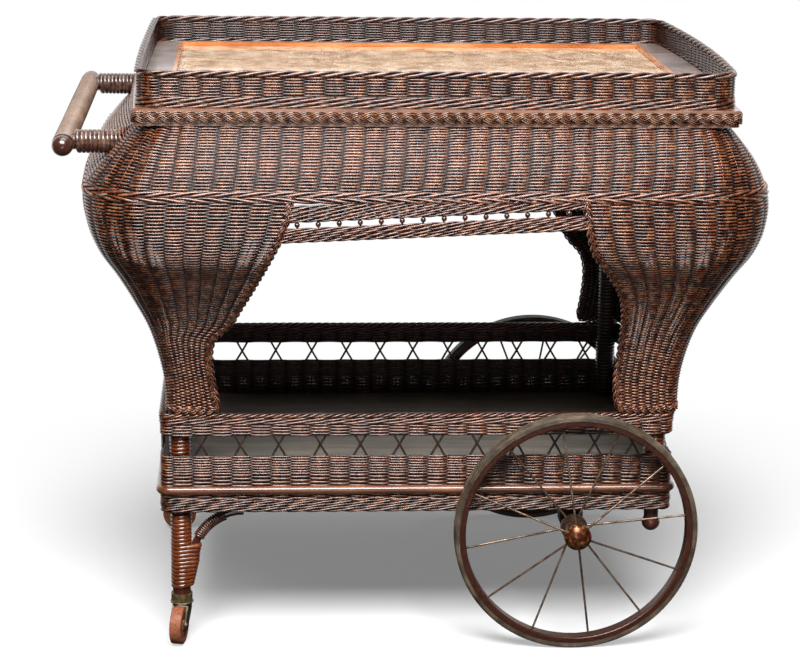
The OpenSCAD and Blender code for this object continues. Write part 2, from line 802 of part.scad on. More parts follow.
cap_h = 15;
module hub_cap() {
    dome_r = (flange_r * flange_r + (cap_h - 4) * (cap_h - 4)) / (2 * (cap_h - 4));
    translate([0, 0, hub_half]) difference() {
        rotate_extrude() intersection() {
            union() {
                square([flange_r, 4]);
                translate([0, cap_h - dome_r]) circle(dome_r);
            }
            square([flange_r, cap_h]);
        }
        translate([0, 0, -1]) cylinder(h = 10.5, r = 12);
    }
}

module front_tyre() { color("#6b6a5e") wheel_place(-1) tyre(); }
module front_rim() { color("#5a3320") wheel_place(-1) rim(); }
module front_hub() { color("#4a3020") wheel_place(-1) hub(); }
module front_hub_cap() { color("#7a4420") wheel_place(-1) hub_cap(); }
module front_spokes() { color("#8a7a68") wheel_place(-1) spoke_rods(); }
module back_tyre() { color("#6b6a5e") wheel_place(1) tyre(); }
module back_rim() { color("#5a3320") wheel_place(1) rim(); }
module back_hub() { color("#4a3020") wheel_place(1) hub(); }
module back_hub_cap() { color("#7a4420") wheel_place(1) hub_cap(); }
module back_spokes() { color("#8a7a68") wheel_place(1) spoke_rods(); }

// ---- Casters ----
caster_w = 17;
cheek_t = 2.5;
cheek_gap = 1;
pin_r = 3;
crown_z = 51;

module caster_sockets() {
    color("#8a6a3a") post_places([-1]) translate([0, 0, socket_z]) difference() {
        union() {
            cylinder(h = 15, r = post_r + 2.5);
            translate([0, 0, 1.5]) rotate_extrude() translate([post_r + 2.5, 0]) circle(1.5, $fn = 24);
            cylinder(h = sleeve_h, r = sleeve_r);
        }
        difference() {
            translate([0, 0, cup_floor]) cylinder(h = 14, r = leg_core_r);
            cylinder(h = 20, r = sleeve_r);
        }
        translate([0, 0, -1]) cylinder(h = sleeve_h + 2, r = stem_r + run_gap);
    }
}

// A caster stands on its swivel axis and trails along -Y before it is turned.
module caster_place(s) {
    translate([shelf_x - post_dx, s * post_dy, 0])
        rotate([0, 0, s < 0 ? front_caster_turn : back_caster_turn]) children();
}

module caster_fork() {
    cheek = caster_w / 2 + cheek_gap;
    difference() {
        union() {
            translate([0, 0, crown_z + 4]) cylinder(h = socket_z - crown_z - 4.3, r = 14);
            translate([0, 0, crown_z + 4]) cylinder(h = socket_z + sleeve_h - crown_z - 8, r = stem_r);
            translate([-cheek - cheek_t, -12, crown_z]) cube([2 * (cheek + cheek_t), 24, 4]);
            for (s = [-1, 1]) translate([s * (cheek + cheek_t / 2), 0, 0]) rotate([0, 90, 0]) {
                linear_extrude(cheek_t, center = true) polygon([
                    [-crown_z - 4, -12], [-crown_z - 4, 12], [-crown_z + 6, 12],
                    [-caster_d / 2 + 6, -caster_trail + 6], [-caster_d / 2 - 6, -caster_trail - 6]]);
                translate([-caster_d / 2, -caster_trail, 0])
                    cylinder(h = cheek_t, r = 8, center = true);
            }
        }
        translate([0, -caster_trail, caster_d / 2]) rotate([0, 90, 0])
            cylinder(h = 60, r = pin_r, center = true);
        translate([0, -caster_trail, caster_d / 2]) rotate([0, 90, 0])
            cylinder(h = caster_w + 2 * cheek_gap, r = caster_d / 2 + 1.5, center = true);
    }
}

module caster_pin() {
    cheek = caster_w / 2 + cheek_gap + cheek_t;
    translate([0, -caster_trail, caster_d / 2]) rotate([0, 90, 0]) {
        cylinder(h = 2 * cheek, r = pin_r, center = true);
        for (s = [-1, 1]) translate([0, 0, s * (cheek + 0.75)])
            cylinder(h = 1.5, r = 5, center = true);
    }
}

module caster_wheel() {
    translate([0, -caster_trail, caster_d / 2]) rotate([0, 90, 0]) rotate_extrude() difference() {
        union() {
            translate([pin_r + run_gap, -caster_w / 2])
                square([caster_d / 2 - 2 - pin_r - run_gap, caster_w]);
            translate([pin_r + run_gap, -caster_w / 2 + 2])
                square([caster_d / 2 - pin_r - run_gap, caster_w - 4]);
            for (s = [-1, 1]) translate([caster_d / 2 - 2, s * (caster_w / 2 - 2)])
                circle(2, $fn = 32);
        }
        for (s = [-1, 1]) translate([9, s * (caster_w / 2) - 1.5]) square([12, 3]);
    }
}

module front_caster_fork() { color("#7a6a50") caster_place(-1) caster_fork(); }
module front_caster_pin() { color("silver") caster_place(-1) caster_pin(); }
module front_caster_wheel() { color("#c8694a") caster_place(-1) caster_wheel(); }
module back_caster_fork() { color("#7a6a50") caster_place(1) caster_fork(); }
module back_caster_pin() { color("silver") caster_place(1) caster_pin(); }
module back_caster_wheel() { color("#c8694a") caster_place(1) caster_wheel(); }

top_board();
edge_braid();
gallery_wall();
gallery_rim();
tray_frame();
tray_bead();
tray_panel();
tray_glass();
top_rails();
upper_weave();
front_left_leg();
front_right_leg();
back_left_leg();
back_right_leg();
front_arch();
back_arch();
left_arch();
right_arch();
arch_beads();
caster_posts();
wheel_end_posts();
foot_knobs();
leg_brackets();
bracket_wraps();
leg_windings();
shelf_frame();
shelf_board();
shelf_moulding();
shelf_wall();
shelf_wall_top();
front_lattice();
back_lattice();
left_lattice();
right_lattice();
shelf_apron();
handle_bar();
handle_bar_wrap();
handle_arms();
arm_windings();
axle();
axle_hangers();
axle_nuts();
caster_sockets();
front_tyre();
front_rim();
front_hub();
front_hub_cap();
front_spokes();
back_tyre();
back_rim();
back_hub();
back_hub_cap();
back_spokes();
front_caster_fork();
front_caster_pin();
front_caster_wheel();
back_caster_fork();
back_caster_pin();
back_caster_wheel();
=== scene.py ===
"""The dressed cheese trolley: reed weave, plaits, windings, finishes, light and camera."""
import math

import bpy
import numpy as np
from mathutils import Matrix


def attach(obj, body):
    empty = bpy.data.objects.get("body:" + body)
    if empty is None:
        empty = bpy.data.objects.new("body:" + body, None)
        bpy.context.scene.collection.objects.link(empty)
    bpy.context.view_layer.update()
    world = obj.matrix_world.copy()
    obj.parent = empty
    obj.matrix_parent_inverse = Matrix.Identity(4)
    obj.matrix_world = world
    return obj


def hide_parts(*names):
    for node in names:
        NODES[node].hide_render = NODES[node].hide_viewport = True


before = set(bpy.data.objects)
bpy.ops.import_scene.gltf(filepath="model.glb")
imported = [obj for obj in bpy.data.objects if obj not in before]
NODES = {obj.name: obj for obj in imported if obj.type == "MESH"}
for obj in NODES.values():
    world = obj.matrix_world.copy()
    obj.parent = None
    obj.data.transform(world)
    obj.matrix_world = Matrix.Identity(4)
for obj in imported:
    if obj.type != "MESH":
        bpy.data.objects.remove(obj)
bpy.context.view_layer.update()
MM = 0.001
AXLE = (0.2415, 0, 0.1775)     # the middle of the spoked wheels' axle, in metres
rng = np.random.default_rng(1880)

# ---------------------------------------------------------------- Camera, floor and light
# The camera stands where the fit to the photograph's straight edges and round wheel put it.
PITCH, YAW, ROLL = (math.radians(a) for a in (14.687, 3.770, 0.843))


def make_camera():
    data = bpy.data.cameras.new("camera")
    data.lens, data.sensor_width = 101.27, 36
    data.clip_end = 60
    ahead = np.array([math.sin(YAW) * math.cos(PITCH), math.cos(YAW) * math.cos(PITCH),
                      -math.sin(PITCH)])
    right = np.array([math.cos(YAW), -math.sin(YAW), 0])
    up = np.cross(right, ahead)
    turned_right = math.cos(ROLL) * right + math.sin(ROLL) * up
    turned_up = math.cos(ROLL) * up - math.sin(ROLL) * right
    camera = bpy.data.objects.new("camera", data)
    turn = Matrix(np.column_stack([turned_right, turned_up, -ahead]).tolist()).to_4x4()
    camera.matrix_world = Matrix.Translation((-0.22083, -3.35170, 1.28786)) @ turn
    bpy.context.scene.collection.objects.link(camera)
    bpy.context.scene.camera = camera


def make_lamp(name, place, target, size, power, tint=(1, 1, 1)):
    data = bpy.data.lights.new(name, "AREA")
    data.shape, data.size, data.size_y = "RECTANGLE", size[0], size[1]
    data.energy, data.color = power, tint
    lamp = bpy.data.objects.new(name, data)
    lamp.location = place
    direction = np.array(target, float) - np.array(place, float)
    lamp.rotation_euler = Matrix(look_along(direction)).to_euler()
    bpy.context.scene.collection.objects.link(lamp)


def look_along(direction):
    back = -direction / np.linalg.norm(direction)
    side = np.cross([0, 0, 1], back)
    side = side / np.linalg.norm(side)
    return np.column_stack([side, np.cross(back, side), back]).tolist()


# ---------------------------------------------------------------- Material helpers
def colour(code):
    """An sRGB hex value as linear red, green, blue and alpha."""
    parts = [int(code[i:i + 2], 16) / 255 for i in (1, 3, 5)]
    return [c / 12.92 if c <= 0.04045 else ((c + 0.055) / 1.055) ** 2.4 for c in parts] + [1]


def feed(tree, node, inputs):
    """Sets or links a node's inputs, by name or number; a node given stands for its first
    output."""
    for key, value in inputs.items():
        if isinstance(value, bpy.types.Node):
            value = value.outputs[0]
        if isinstance(value, bpy.types.NodeSocket):
            tree.links.new(value, node.inputs[key])
        else:
            node.inputs[key].default_value = value


def add(tree, kind, inputs=None, stops=(), **settings):
    """Adds a node with its settings and inputs, and a colour ramp with its stops of
    (place, hex). The kind of a shader node is given without the word ShaderNode."""
    made = tree.nodes.new(kind if "Node" in kind else "ShaderNode" + kind)
    for key, value in settings.items():
        setattr(made, key, value)
    if stops:
        line = made.color_ramp.elements
        while len(line) < len(stops):
            line.new(0.5)
        for element, (place, code) in zip(line, stops):
            element.position, element.color = place, colour(code)
    feed(tree, made, inputs or {})
    return made


def new_material(name):
    """A material with its tree, its shader, and the socket for places on the piece."""
    material = bpy.data.materials.new(name)
    material.use_nodes = True
    tree = material.node_tree
    here = add(tree, "TexCoord").outputs["Object"]
    return material, tree, tree.nodes["Principled BSDF"], here


# ---------------------------------------------------------------- Materials
def stained_reed(name, stops, worn, gloss, gap=(-1.0, -2.0)):
    """Round reed of the rattan core, soaked, woven and brush-stained dark, then varnished:
    the stain is thin on the crowns and differs from rod to rod; the crowns' paler worn
    colour is also a painted highlight, and the near-black where a rod goes in between its
    neighbours is painted shade. gap gives in mm how far a rod stands out on the side seen
    where the painted shade begins, and where it is full."""
    material, tree, shader, here = new_material(name)
    tone, crown = (add(tree, "Attribute", attribute_name=key).outputs["Fac"]
                   for key in ("tone", "over"))
    # patches of 60 mm where the old varnish has gone warmer or greyer, rubbed spots of 9 mm
    # and fibres of 1.2 mm
    patch, rubbed, fibre = (add(tree, "TexNoise", {
        "Vector": here, "Scale": 1 / (size * MM), "Detail": detail})
        for size, detail in ((60, 2), (9, 2), (1.2, 3)))
    depth = add(tree, "Math", {0: patch, 1: tone}, operation="ADD")
    depth = add(tree, "Math", {0: depth, 1: 0.5}, operation="MULTIPLY")
    base = add(tree, "ValToRGB", {0: depth}, stops)
    # painted shade: the colour goes near-black where the rod goes in between its neighbours, and
    # the varnish coat thins there too
    push = add(tree, "Attribute", attribute_name="push").outputs["Vector"]
    facing = add(tree, "NewGeometry").outputs["Normal"]
    stands = add(tree, "VectorMath", {0: push, 1: facing}, operation="DOT_PRODUCT")
    painted_gap_shade = add(tree, "MapRange", {0: stands.outputs["Value"], 1: gap[0] * MM, 2: gap[1] * MM})
    base = add(tree, "Mix", {0: painted_gap_shade, 6: base, 7: colour("#100503")},
               data_type="RGBA").outputs[2]
    # paler worn colour in rubbed patches on the crowns: rubbed wear, and also a painted
    # highlight
    crown_wear_and_highlight = add(tree, "MapRange", {0: rubbed, 1: 0.42, 2: 0.75})
    crown_wear_and_highlight = add(tree, "Math", {0: crown_wear_and_highlight, 1: crown}, operation="MULTIPLY", use_clamp=True)
    base = add(tree, "Mix", {0: crown_wear_and_highlight, 6: base, 7: colour(worn)}, data_type="RGBA").outputs[2]
    rough = add(tree, "MapRange", {0: rubbed, 3: gloss - 0.08, 4: gloss + 0.16})
    bump = add(tree, "Bump", {"Height": fibre, "Strength": 0.25, "Distance": 0.4 * MM})
    # the varnish over the stain, thin where the painted shade lies
    coat = add(tree, "MapRange", {0: painted_gap_shade, 3: 0.85, 4: 0.1})
    feed(tree, shader, {"Base Color": base, "Roughness": rough, "Normal": bump, "IOR": 1.5,
                        "Coat Weight": coat, "Coat Roughness": 0.22, "Coat IOR": 1.6})
    return material


def varnished_wood(name, shades, stretch, rough, coat=0.0, bump_mm=0.15):
    """Sawn, planed and varnished wood: long grain lines, pores, and a coat that has dulled.
    shades go from dark to light, and stretch counts the grain's marks in a metre along each
    axis."""
    material, tree, shader, here = new_material(name)
    lengthwise = add(tree, "Mapping", {"Vector": here, "Scale": stretch})
    grain = add(tree, "TexNoise", {"Vector": lengthwise, "Scale": 1, "Detail": 6,
                                   "Roughness": 0.6, "Distortion": 0.4})
    # stains of 80 mm
    stain = add(tree, "TexNoise", {"Vector": here, "Scale": 1 / (80 * MM), "Detail": 3})
    both = add(tree, "Math", {0: grain, 1: stain}, operation="ADD")
    both = add(tree, "Math", {0: both, 1: 0.5}, operation="MULTIPLY")
    base = add(tree, "ValToRGB", {0: both}, list(zip((0.3, 0.5, 0.7), shades)))
    dull = add(tree, "MapRange", {0: stain, 1: 0.3, 2: 0.7, 3: rough - 0.07, 4: rough + 0.12})
    bump = add(tree, "Bump", {"Height": grain, "Strength": 0.5, "Distance": bump_mm * MM})
    feed(tree, shader, {"Base Color": base, "Roughness": dull, "Normal": bump,
                        "Coat Weight": coat, "Coat Roughness": 0.12})
    return material


def aged_metal(name, stops, metallic, rough, spot_mm):
    """Metal that has browned: spots of rust and old lacquer over the base metal."""
    material, tree, shader, here = new_material(name)
    spots = add(tree, "TexNoise", {"Vector": here, "Scale": 1 / (spot_mm * MM), "Detail": 5,
                                   "Roughness": 0.65})
    base = add(tree, "ValToRGB", {0: spots}, stops)
    shine = add(tree, "MapRange", {0: spots, 1: 0.3, 2: 0.7, 3: rough + 0.15, 4: rough - 0.05})
    bump = add(tree, "Bump", {"Height": spots, "Strength": 0.35, "Distance": 0.3 * MM})
    feed(tree, shader, {"Base Color": base, "Roughness": shine, "Normal": bump,
                        "Metallic": metallic})
    return material


def float_glass():
    """Clear float glass: a faint reflection, smears of 50 mm, and the panel seen through."""
    material, tree, shader, here = new_material("float_glass")
    smear = add(tree, "TexNoise", {"Vector": here, "Scale": 1 / (50 * MM), "Detail": 3})
    rough = add(tree, "MapRange", {0: smear, 3: 0.02, 4: 0.14})
    feed(tree, shader, {"Roughness": rough, "Base Color": colour("#f4f8f4"),
                        "Transmission Weight": 1, "IOR": 1.5})
    # light falls through the pane on to the panel
    path = add(tree, "LightPath")
    open_way = add(tree, "BsdfTransparent", {"Color": (0.93, 0.96, 0.94, 1)})
    either = add(tree, "MixShader", {0: path.outputs["Is Shadow Ray"], 1: shader, 2: open_way})
    feed(tree, tree.nodes["Material Output"], {0: either})
    return material


def mottled_panel():
    """Tan veneer panel, faded and mottled, with faint brown figuring in the middle."""
    material, tree, shader, here = new_material("mottled_panel_veneer")
    # mottles of 35 mm and flecks of 5 mm
    mottle = add(tree, "TexNoise", {"Vector": here, "Scale": 1 / (35 * MM), "Detail": 5,
                                    "Distortion": 0.8})
    fleck = add(tree, "TexNoise", {"Vector": here, "Scale": 1 / (5 * MM), "Detail": 3})
    base = add(tree, "ValToRGB", {0: mottle},
               [(0.34, "#c9a588"), (0.52, "#e9cbb4"), (0.68, "#f5dfcf")])
    flecks = add(tree, "MapRange", {0: fleck, 1: 0.55, 2: 0.75})
    flecks = add(tree, "Math", {0: flecks, 1: 0.7}, operation="MULTIPLY")
    base = add(tree, "Mix", {0: flecks, 6: base, 7: colour("#8a6446")},
               data_type="RGBA").outputs[2]
    feed(tree, shader, {"Base Color": base, "Roughness": 0.45})
    return material


def worn_rubber():
    """Solid rubber tyre, grey with age, with painted shade in its grooves."""
    material, tree, shader, here = new_material("aged_rubber")
    dust = add(tree, "TexNoise", {"Vector": here, "Scale": 1 / (18 * MM), "Detail": 5})
    base = add(tree, "ValToRGB", {0: dust},
               [(0.3, "#40342a"), (0.5, "#625242"), (0.7, "#86745f")])
    # moulded grooves, 2 mm apart, run round the axle on the tyre's sides, darkened as painted
    # shade
    from_axle = add(tree, "VectorMath", {0: here, 1: AXLE}, operation="SUBTRACT")
    in_plane = add(tree, "VectorMath", {0: from_axle, 1: (1, 0, 1)}, operation="MULTIPLY")
    radius = add(tree, "VectorMath", {0: in_plane}, operation="LENGTH")
    wave = add(tree, "Math", {0: radius.outputs["Value"], 1: 2 * math.pi / (2 * MM)},
               operation="MULTIPLY")
    wave = add(tree, "Math", {0: wave}, operation="SINE")
    groove_and_painted_shade = add(tree, "MapRange", {0: wave, 1: 0.2, 2: 0.9})
    base = add(tree, "Mix", {0: groove_and_painted_shade, 6: base, 7: colour("#1c1712")},
               data_type="RGBA").outputs[2]
    bump = add(tree, "Bump", {"Height": dust, "Strength": 0.3, "Distance": 0.4 * MM})
    cut = add(tree, "Bump", {"Height": groove_and_painted_shade, "Strength": 0.6, "Distance": 0.6 * MM,
                             "Normal": bump}, invert=True)
    feed(tree, shader, {"Base Color": base, "Normal": cut, "Roughness": 0.5})
    return material


REED = stained_reed("stained_round_reed", [(0.22, "#1c0a05"), (0.5, "#502313"),
                                           (0.72, "#76381d"), (0.8, "#b4702c")],
                    "#a46c48", 0.30, (1.2, 0.0))
BRAID = stained_reed("stained_plaited_reed", [(0.25, "#3a1e12"), (0.5, "#693f2b"),
                                              (0.75, "#9c6e4e")], "#8e6449", 0.24, (0.3, -0.9))
STAKE = stained_reed("stained_stake_reed", [(0.2, "#170c08"), (0.8, "#3b231a")],
                     "#5c4133", 0.42)
CANE = stained_reed("varnished_winding_cane", [(0.25, "#240b03"), (0.5, "#602609"),
                                               (0.75, "#8a4316")], "#a86232", 0.20)
DARK_CANE = stained_reed("dark_winding_cane", [(0.25, "#1f110c"), (0.5, "#43261b"),
                                               (0.75, "#7a4f3b")], "#b48d78", 0.24)
PALE_CANE = stained_reed("pale_winding_cane", [(0.25, "#4a3427"), (0.5, "#755a48"),
                                               (0.75, "#937762")], "#b99c84", 0.40)
BEAD = stained_reed("turned_bead_wood", [(0.2, "#3a1c10"), (0.8, "#7c4a30")], "#a87e62", 0.25)
LONG_GRAIN, UPRIGHT_GRAIN = (6, 90, 90), (90, 90, 6)
DARK_WOOD = varnished_wood("dark_stained_beech", ("#1d110d", "#38221a", "#513428"),
                           LONG_GRAIN, 0.36, 0.3)
POST_WOOD = varnished_wood("stained_turned_beech", ("#240e06", "#471d0b", "#6a3215"),
                           UPRIGHT_GRAIN, 0.3, 0.5)
KNOB_WOOD = varnished_wood("dark_turned_beech", ("#1c0d08", "#3a1d12", "#5c3322"),
                           UPRIGHT_GRAIN, 0.24, 0.8)
# pale wood for the top board, whose rounded edge shows above the plait
BOARD_WOOD = varnished_wood("pale_board_edge_beech", ("#4a2c1e", "#8a5f48", "#bd9880"),
                            LONG_GRAIN, 0.28, 0.8)
# the frame's grey is a painted sheen: it stands in for the sky reflected in its varnish
FRAME_WOOD = varnished_wood("frame_beech_painted_sheen_grey", ("#4a403b", "#7d6f69", "#9c8f89"),
                            LONG_GRAIN, 0.34, 0.5)
MOULDING = varnished_wood("varnished_half_round", ("#34180e", "#6e4028", "#a36d4c"),
                          (5, 110, 110), 0.24, 0.8)
MAHOGANY = varnished_wood("polished_mahogany", ("#8a4218", "#bd6f38", "#d99a68"),
                          (8, 120, 120), 0.25, 0.6)
SHELF_WOOD = varnished_wood("weathered_board", ("#5c554d", "#8c8479", "#b4a99b"),
                            (4, 60, 60), 0.55, 0.0, 0.3)
PANEL = mottled_panel()
GLASS = float_glass()
RUBBER = worn_rubber()
RIM_PAINT = aged_metal("browned_rim_paint", [(0.3, "#26130c"), (0.5, "#43231a"),
                                             (0.72, "#6c412d")], 0.25, 0.26, 3)
WIRE = aged_metal("aged_spoke_wire", [(0.3, "#3b2c23"), (0.5, "#7a6353"), (0.7, "#b09a86")],
                  0.7, 0.35, 14)
IRON = aged_metal("browned_iron", [(0.3, "#30231b"), (0.55, "#64493a"), (0.75, "#a0836a")],
                  0.7, 0.4, 6)
CAP_BRASS = aged_metal("worn_brass_dome", [(0.35, "#2c120b"), (0.52, "#642e18"),
                                           (0.66, "#c08c50")], 0.55, 0.20, 8)
FERRULE = aged_metal("tarnished_ferrule_brass", [(0.3, "#4c3d28"), (0.5, "#83704d"),
                                                 (0.7, "#b2a281")], 0.75, 0.32, 7)
CASTER_STEEL = aged_metal("tarnished_plated_steel", [(0.3, "#2a221b"), (0.5, "#574a3a"),
                                                     (0.7, "#a39780")], 0.8, 0.3, 6)
FIBRE = aged_metal("terracotta_fibre", [(0.3, "#6a3220"), (0.5, "#985638"), (0.7, "#ab6f50")],
                   0.0, 0.5, 5)

CAD_FINISH = (
    (BOARD_WOOD, "top_board"), (FRAME_WOOD, "tray_frame"), (MAHOGANY, "tray_bead"),
    (PANEL, "tray_panel"), (GLASS, "tray_glass"), (BEAD, "arch_beads"),
    (DARK_WOOD, "top_rails shelf_frame axle_hangers"), (SHELF_WOOD, "shelf_board"),
    (POST_WOOD, "caster_posts wheel_end_posts leg_brackets bracket_wraps"),
    (KNOB_WOOD, "foot_knobs handle_bar handle_arms"), (MOULDING, "shelf_moulding"),
    (IRON, "axle axle_nuts front_hub back_hub"), (FERRULE, "caster_sockets"),
    (RUBBER, "front_tyre back_tyre"), (RIM_PAINT, "front_rim back_rim"),
    (CAP_BRASS, "front_hub_cap back_hub_cap"), (WIRE, "front_spokes back_spokes"),
    (CASTER_STEEL, "front_caster_fork back_caster_fork front_caster_pin back_caster_pin"),
    (FIBRE, "front_caster_wheel back_caster_wheel"))


# ---------------------------------------------------------------- Reed rods
def build_reed_tree():
    """Turns edge chains into round rods. Inputs give the rod's sides, how far and over what
    length it wanders from its true line, and its finish."""
    tree = bpy.data.node_groups.new("reed_rods", "GeometryNodeTree")
    face = tree.interface
    face.new_socket("Chains", in_out="INPUT", socket_type="NodeSocketGeometry")
    for name, kind, value in (("Rod Sides", "NodeSocketInt", 6),
                              ("Sway", "NodeSocketFloat", 0.8 * MM),
                              ("Sway Length", "NodeSocketFloat", 120 * MM),
                              ("Kink", "NodeSocketFloat", 0.2 * MM),
                              ("Kink Length", "NodeSocketFloat", 12 * MM)):
        face.new_socket(name, in_out="INPUT", socket_type=kind).default_value = value
    face.new_socket("Finish", in_out="INPUT", socket_type="NodeSocketMaterial")
    face.new_socket("Rods", in_out="OUTPUT", socket_type="NodeSocketGeometry")
    given = add(tree, "NodeGroupInput").outputs
    here = add(tree, "GeometryNodeInputPosition")
    lines = add(tree, "GeometryNodeMeshToCurve", {0: given["Chains"]})
    shift = add(tree, "GeometryNodeInputNamedAttribute", {"Name": "push"},
                data_type="FLOAT_VECTOR")
    for size, reach in (("Sway Length", "Sway"), ("Kink Length", "Kink")):
        rate = add(tree, "Math", {0: 1.0, 1: given[size]}, operation="DIVIDE")
        noise = add(tree, "TexNoise", {"Vector": here, "W": 7.0, "Detail": 0.0, "Scale": rate},
                    noise_dimensions="4D")
        centred = add(tree, "VectorMath", {0: noise.outputs["Color"], 1: (0.5, 0.5, 0.5)},
                      operation="SUBTRACT")
        scaled = add(tree, "VectorMath", {0: centred, "Scale": given[reach]}, operation="SCALE")
        shift = add(tree, "VectorMath", {0: shift, 1: scaled}, operation="ADD")
    moved = add(tree, "GeometryNodeSetPosition", {"Geometry": lines, "Offset": shift})
    section = add(tree, "GeometryNodeCurvePrimitiveCircle", {"Resolution": given["Rod Sides"],
                                                             "Radius": 1.0})
    thick = add(tree, "GeometryNodeInputNamedAttribute", {"Name": "thick"}, data_type="FLOAT")
    rods = add(tree, "GeometryNodeCurveToMesh", {"Curve": moved, "Profile Curve": section,
                                                 "Scale": thick, "Fill Caps": True})
    smooth = add(tree, "GeometryNodeSetShadeSmooth", {0: rods})
    coated = add(tree, "GeometryNodeSetMaterial", {"Geometry": smooth,
                                                   "Material": given["Finish"]})
    real = add(tree, "GeometryNodeRealizeInstances", {0: coated})
    add(tree, "NodeGroupOutput", {0: real})
    return tree


REED_TREE = build_reed_tree()


def run_tree(name, mesh, tree, values):
    """Runs a tree over a mesh and returns the result as a plain object."""
    work = bpy.data.objects.new(name + "_work", mesh)
    bpy.context.scene.collection.objects.link(work)
    modifier = work.modifiers.new("tree", "NODES")
    modifier.node_group = tree
    sockets = {s.name: s.identifier for s in tree.interface.items_tree if s.in_out == "INPUT"}
    for key, value in values.items():
        modifier[sockets[key]] = value
    view = bpy.context.evaluated_depsgraph_get()
    made = bpy.data.meshes.new_from_object(work.evaluated_get(view), depsgraph=view)
    made.name = name
    work.modifiers.clear()
    bpy.data.objects.remove(work)
    piece = bpy.data.objects.new(name, made)
    bpy.context.scene.collection.objects.link(piece)
    return piece


class Rods:
    """A bundle of reed rods that become one piece. Points and sizes are in millimetres.
    tone picks a rod's shade from dark to light, over says where it shows its crown, and push
    moves its points away from its line."""

    def __init__(self):
        self.points, self.push, self.thick, self.tone, self.over = [], [], [], [], []
        self.edges, self.count = [], 0

    def lay(self, points, radius, push=None, over=None, tone=None, closed=False):
        points = np.asarray(points, float)
        n = len(points)
        self.points.append(points)
        self.push.append(np.zeros((n, 3)) if push is None else push)
        self.thick.append(np.broadcast_to(radius, n))
        self.over.append(np.full(n, 0.3) if over is None else over)
        self.tone.append(np.full(n, rng.uniform(0.15, 0.85) if tone is None else tone))
        i = np.arange(n - 1) + self.count
        self.edges.append(np.column_stack([i, i + 1]))
        if closed:
            self.edges.append(np.array([[self.count + n - 1, self.count]]))
        self.count += n

    def stand(self, x, y, heights, radius, tone=0.4):
        """One upright stake through the heights given."""
        self.lay([[x, y, z] for z in heights], radius, tone=tone)

    def piece(self, name, finish, slot="stained_reed", replaces=(), sides=6, sway=0.8,
              kink=0.2):
        mesh = bpy.data.meshes.new(name + "_lines")
        mesh.from_pydata((np.concatenate(self.points) * MM).tolist(),
                         np.concatenate(self.edges).tolist(), [])
        for key, kind, parts, scale in (("push", "FLOAT_VECTOR", self.push, MM),
                                        ("thick", "FLOAT", self.thick, MM),
                                        ("tone", "FLOAT", self.tone, 1),
                                        ("over", "FLOAT", self.over, 1)):
            data = mesh.attributes.new(key, kind, "POINT").data
            field = "vector" if kind == "FLOAT_VECTOR" else "value"
            data.foreach_set(field, (np.concatenate(parts) * scale).astype(np.float32).ravel())
        made = run_tree(name, mesh, REED_TREE, {
            "Rod Sides": sides, "Sway": sway * MM, "Kink": kink * MM, "Finish": finish})
        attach(made, "cart")
        if replaces:
            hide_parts(*replaces)


# ---------------------------------------------------------------- Lines and surfaces
def smooth_curve(table, at):
    """A smooth curve through a table of (place, value), read at the places given."""
    x, y = np.array(table, float).T
    slope = np.gradient(y, x)
    at = np.clip(at, x[0], x[-1])
    i = np.clip(np.searchsorted(x, at) - 1, 0, len(x) - 2)
    h = x[i + 1] - x[i]
    t = (at - x[i]) / h
    return ((2 * t**3 - 3 * t**2 + 1) * y[i] + (t**3 - 2 * t**2 + t) * h * slope[i]
            + (3 * t**2 - 2 * t**3) * y[i + 1] + (t**3 - t**2) * h * slope[i + 1])


def lengths(line, closed=False):
    """Distance along a line at each point, and the whole length."""
    around = np.vstack([line, line[:1]]) if closed else line
    run = np.concatenate([[0], np.cumsum(np.linalg.norm(np.diff(around, axis=0), axis=1))])
    return run, run[-1]


def resample(line, at, closed=False):
    """Points at the given distances along a line."""
    run, _ = lengths(line, closed)
    around = np.vstack([line, line[:1]]) if closed else line
    return np.column_stack([np.interp(at, run, around[:, k]) for k in range(line.shape[1])])


def unit(v):
    return v / np.maximum(np.linalg.norm(v, axis=-1, keepdims=True), 1e-9)


def direction(points, closed, axis=0):
    """Which way a line of points, or each row of a grid with axis 1, runs at each point."""
    if closed:
        return unit(np.roll(points, -1, axis) - np.roll(points, 1, axis))
    return unit(np.gradient(points, axis=axis))


def slopes(grid, closed):
    """Directions along the rows and up the rows of a grid of points."""
    return direction(grid, closed, 1), unit(np.gradient(grid, axis=0))


def weave(rods, grid, stakes, closed, radius, lift, outward=1, first=0, skip=None):
    """Rows of reed that pass in front of every other stake, each row the other way round
    from the row below. grid holds rows of points, stakes the place of each point counted in
    stakes, and lift how far a reed swings out over a stake and in behind the next. skip
    drops the points where a row is broken away."""
    along, up = slopes(grid, closed)
    normal = unit(np.cross(along, up)) * outward
    for r, row in enumerate(grid):
        wave = np.cos(math.pi * (stakes + r + first))
        over = np.sign(wave) * np.abs(wave) ** 0.45
        push = normal[r] * np.where(over > 0, over * lift[0], over * lift[1])[:, None]
        tone = rng.uniform(0.1, 0.9)
        if skip is None or not skip[r].any():
            rods.lay(row, radius, push, over, tone, closed)
            continue
        keep = ~skip[r]
        start = int(np.argmax(~keep))
        order = np.roll(np.arange(len(row)), -start) if closed else np.arange(len(row))
        pieces = np.split(order, np.where(np.diff(keep[order].astype(int)) != 0)[0] + 1)
        for part in pieces:
            if keep[part[0]] and len(part) > 3:
                rods.lay(row[part], radius, push[part], over[part], tone)


def rounds(line, turn, closed):
    """Distance along a line at each point, its whole length, and how often a twist of the
    given turn goes round in it."""
    run, whole = lengths(line, closed)
    return run[:len(line)], whole, max(1, round(whole / turn)) if closed else whole / turn


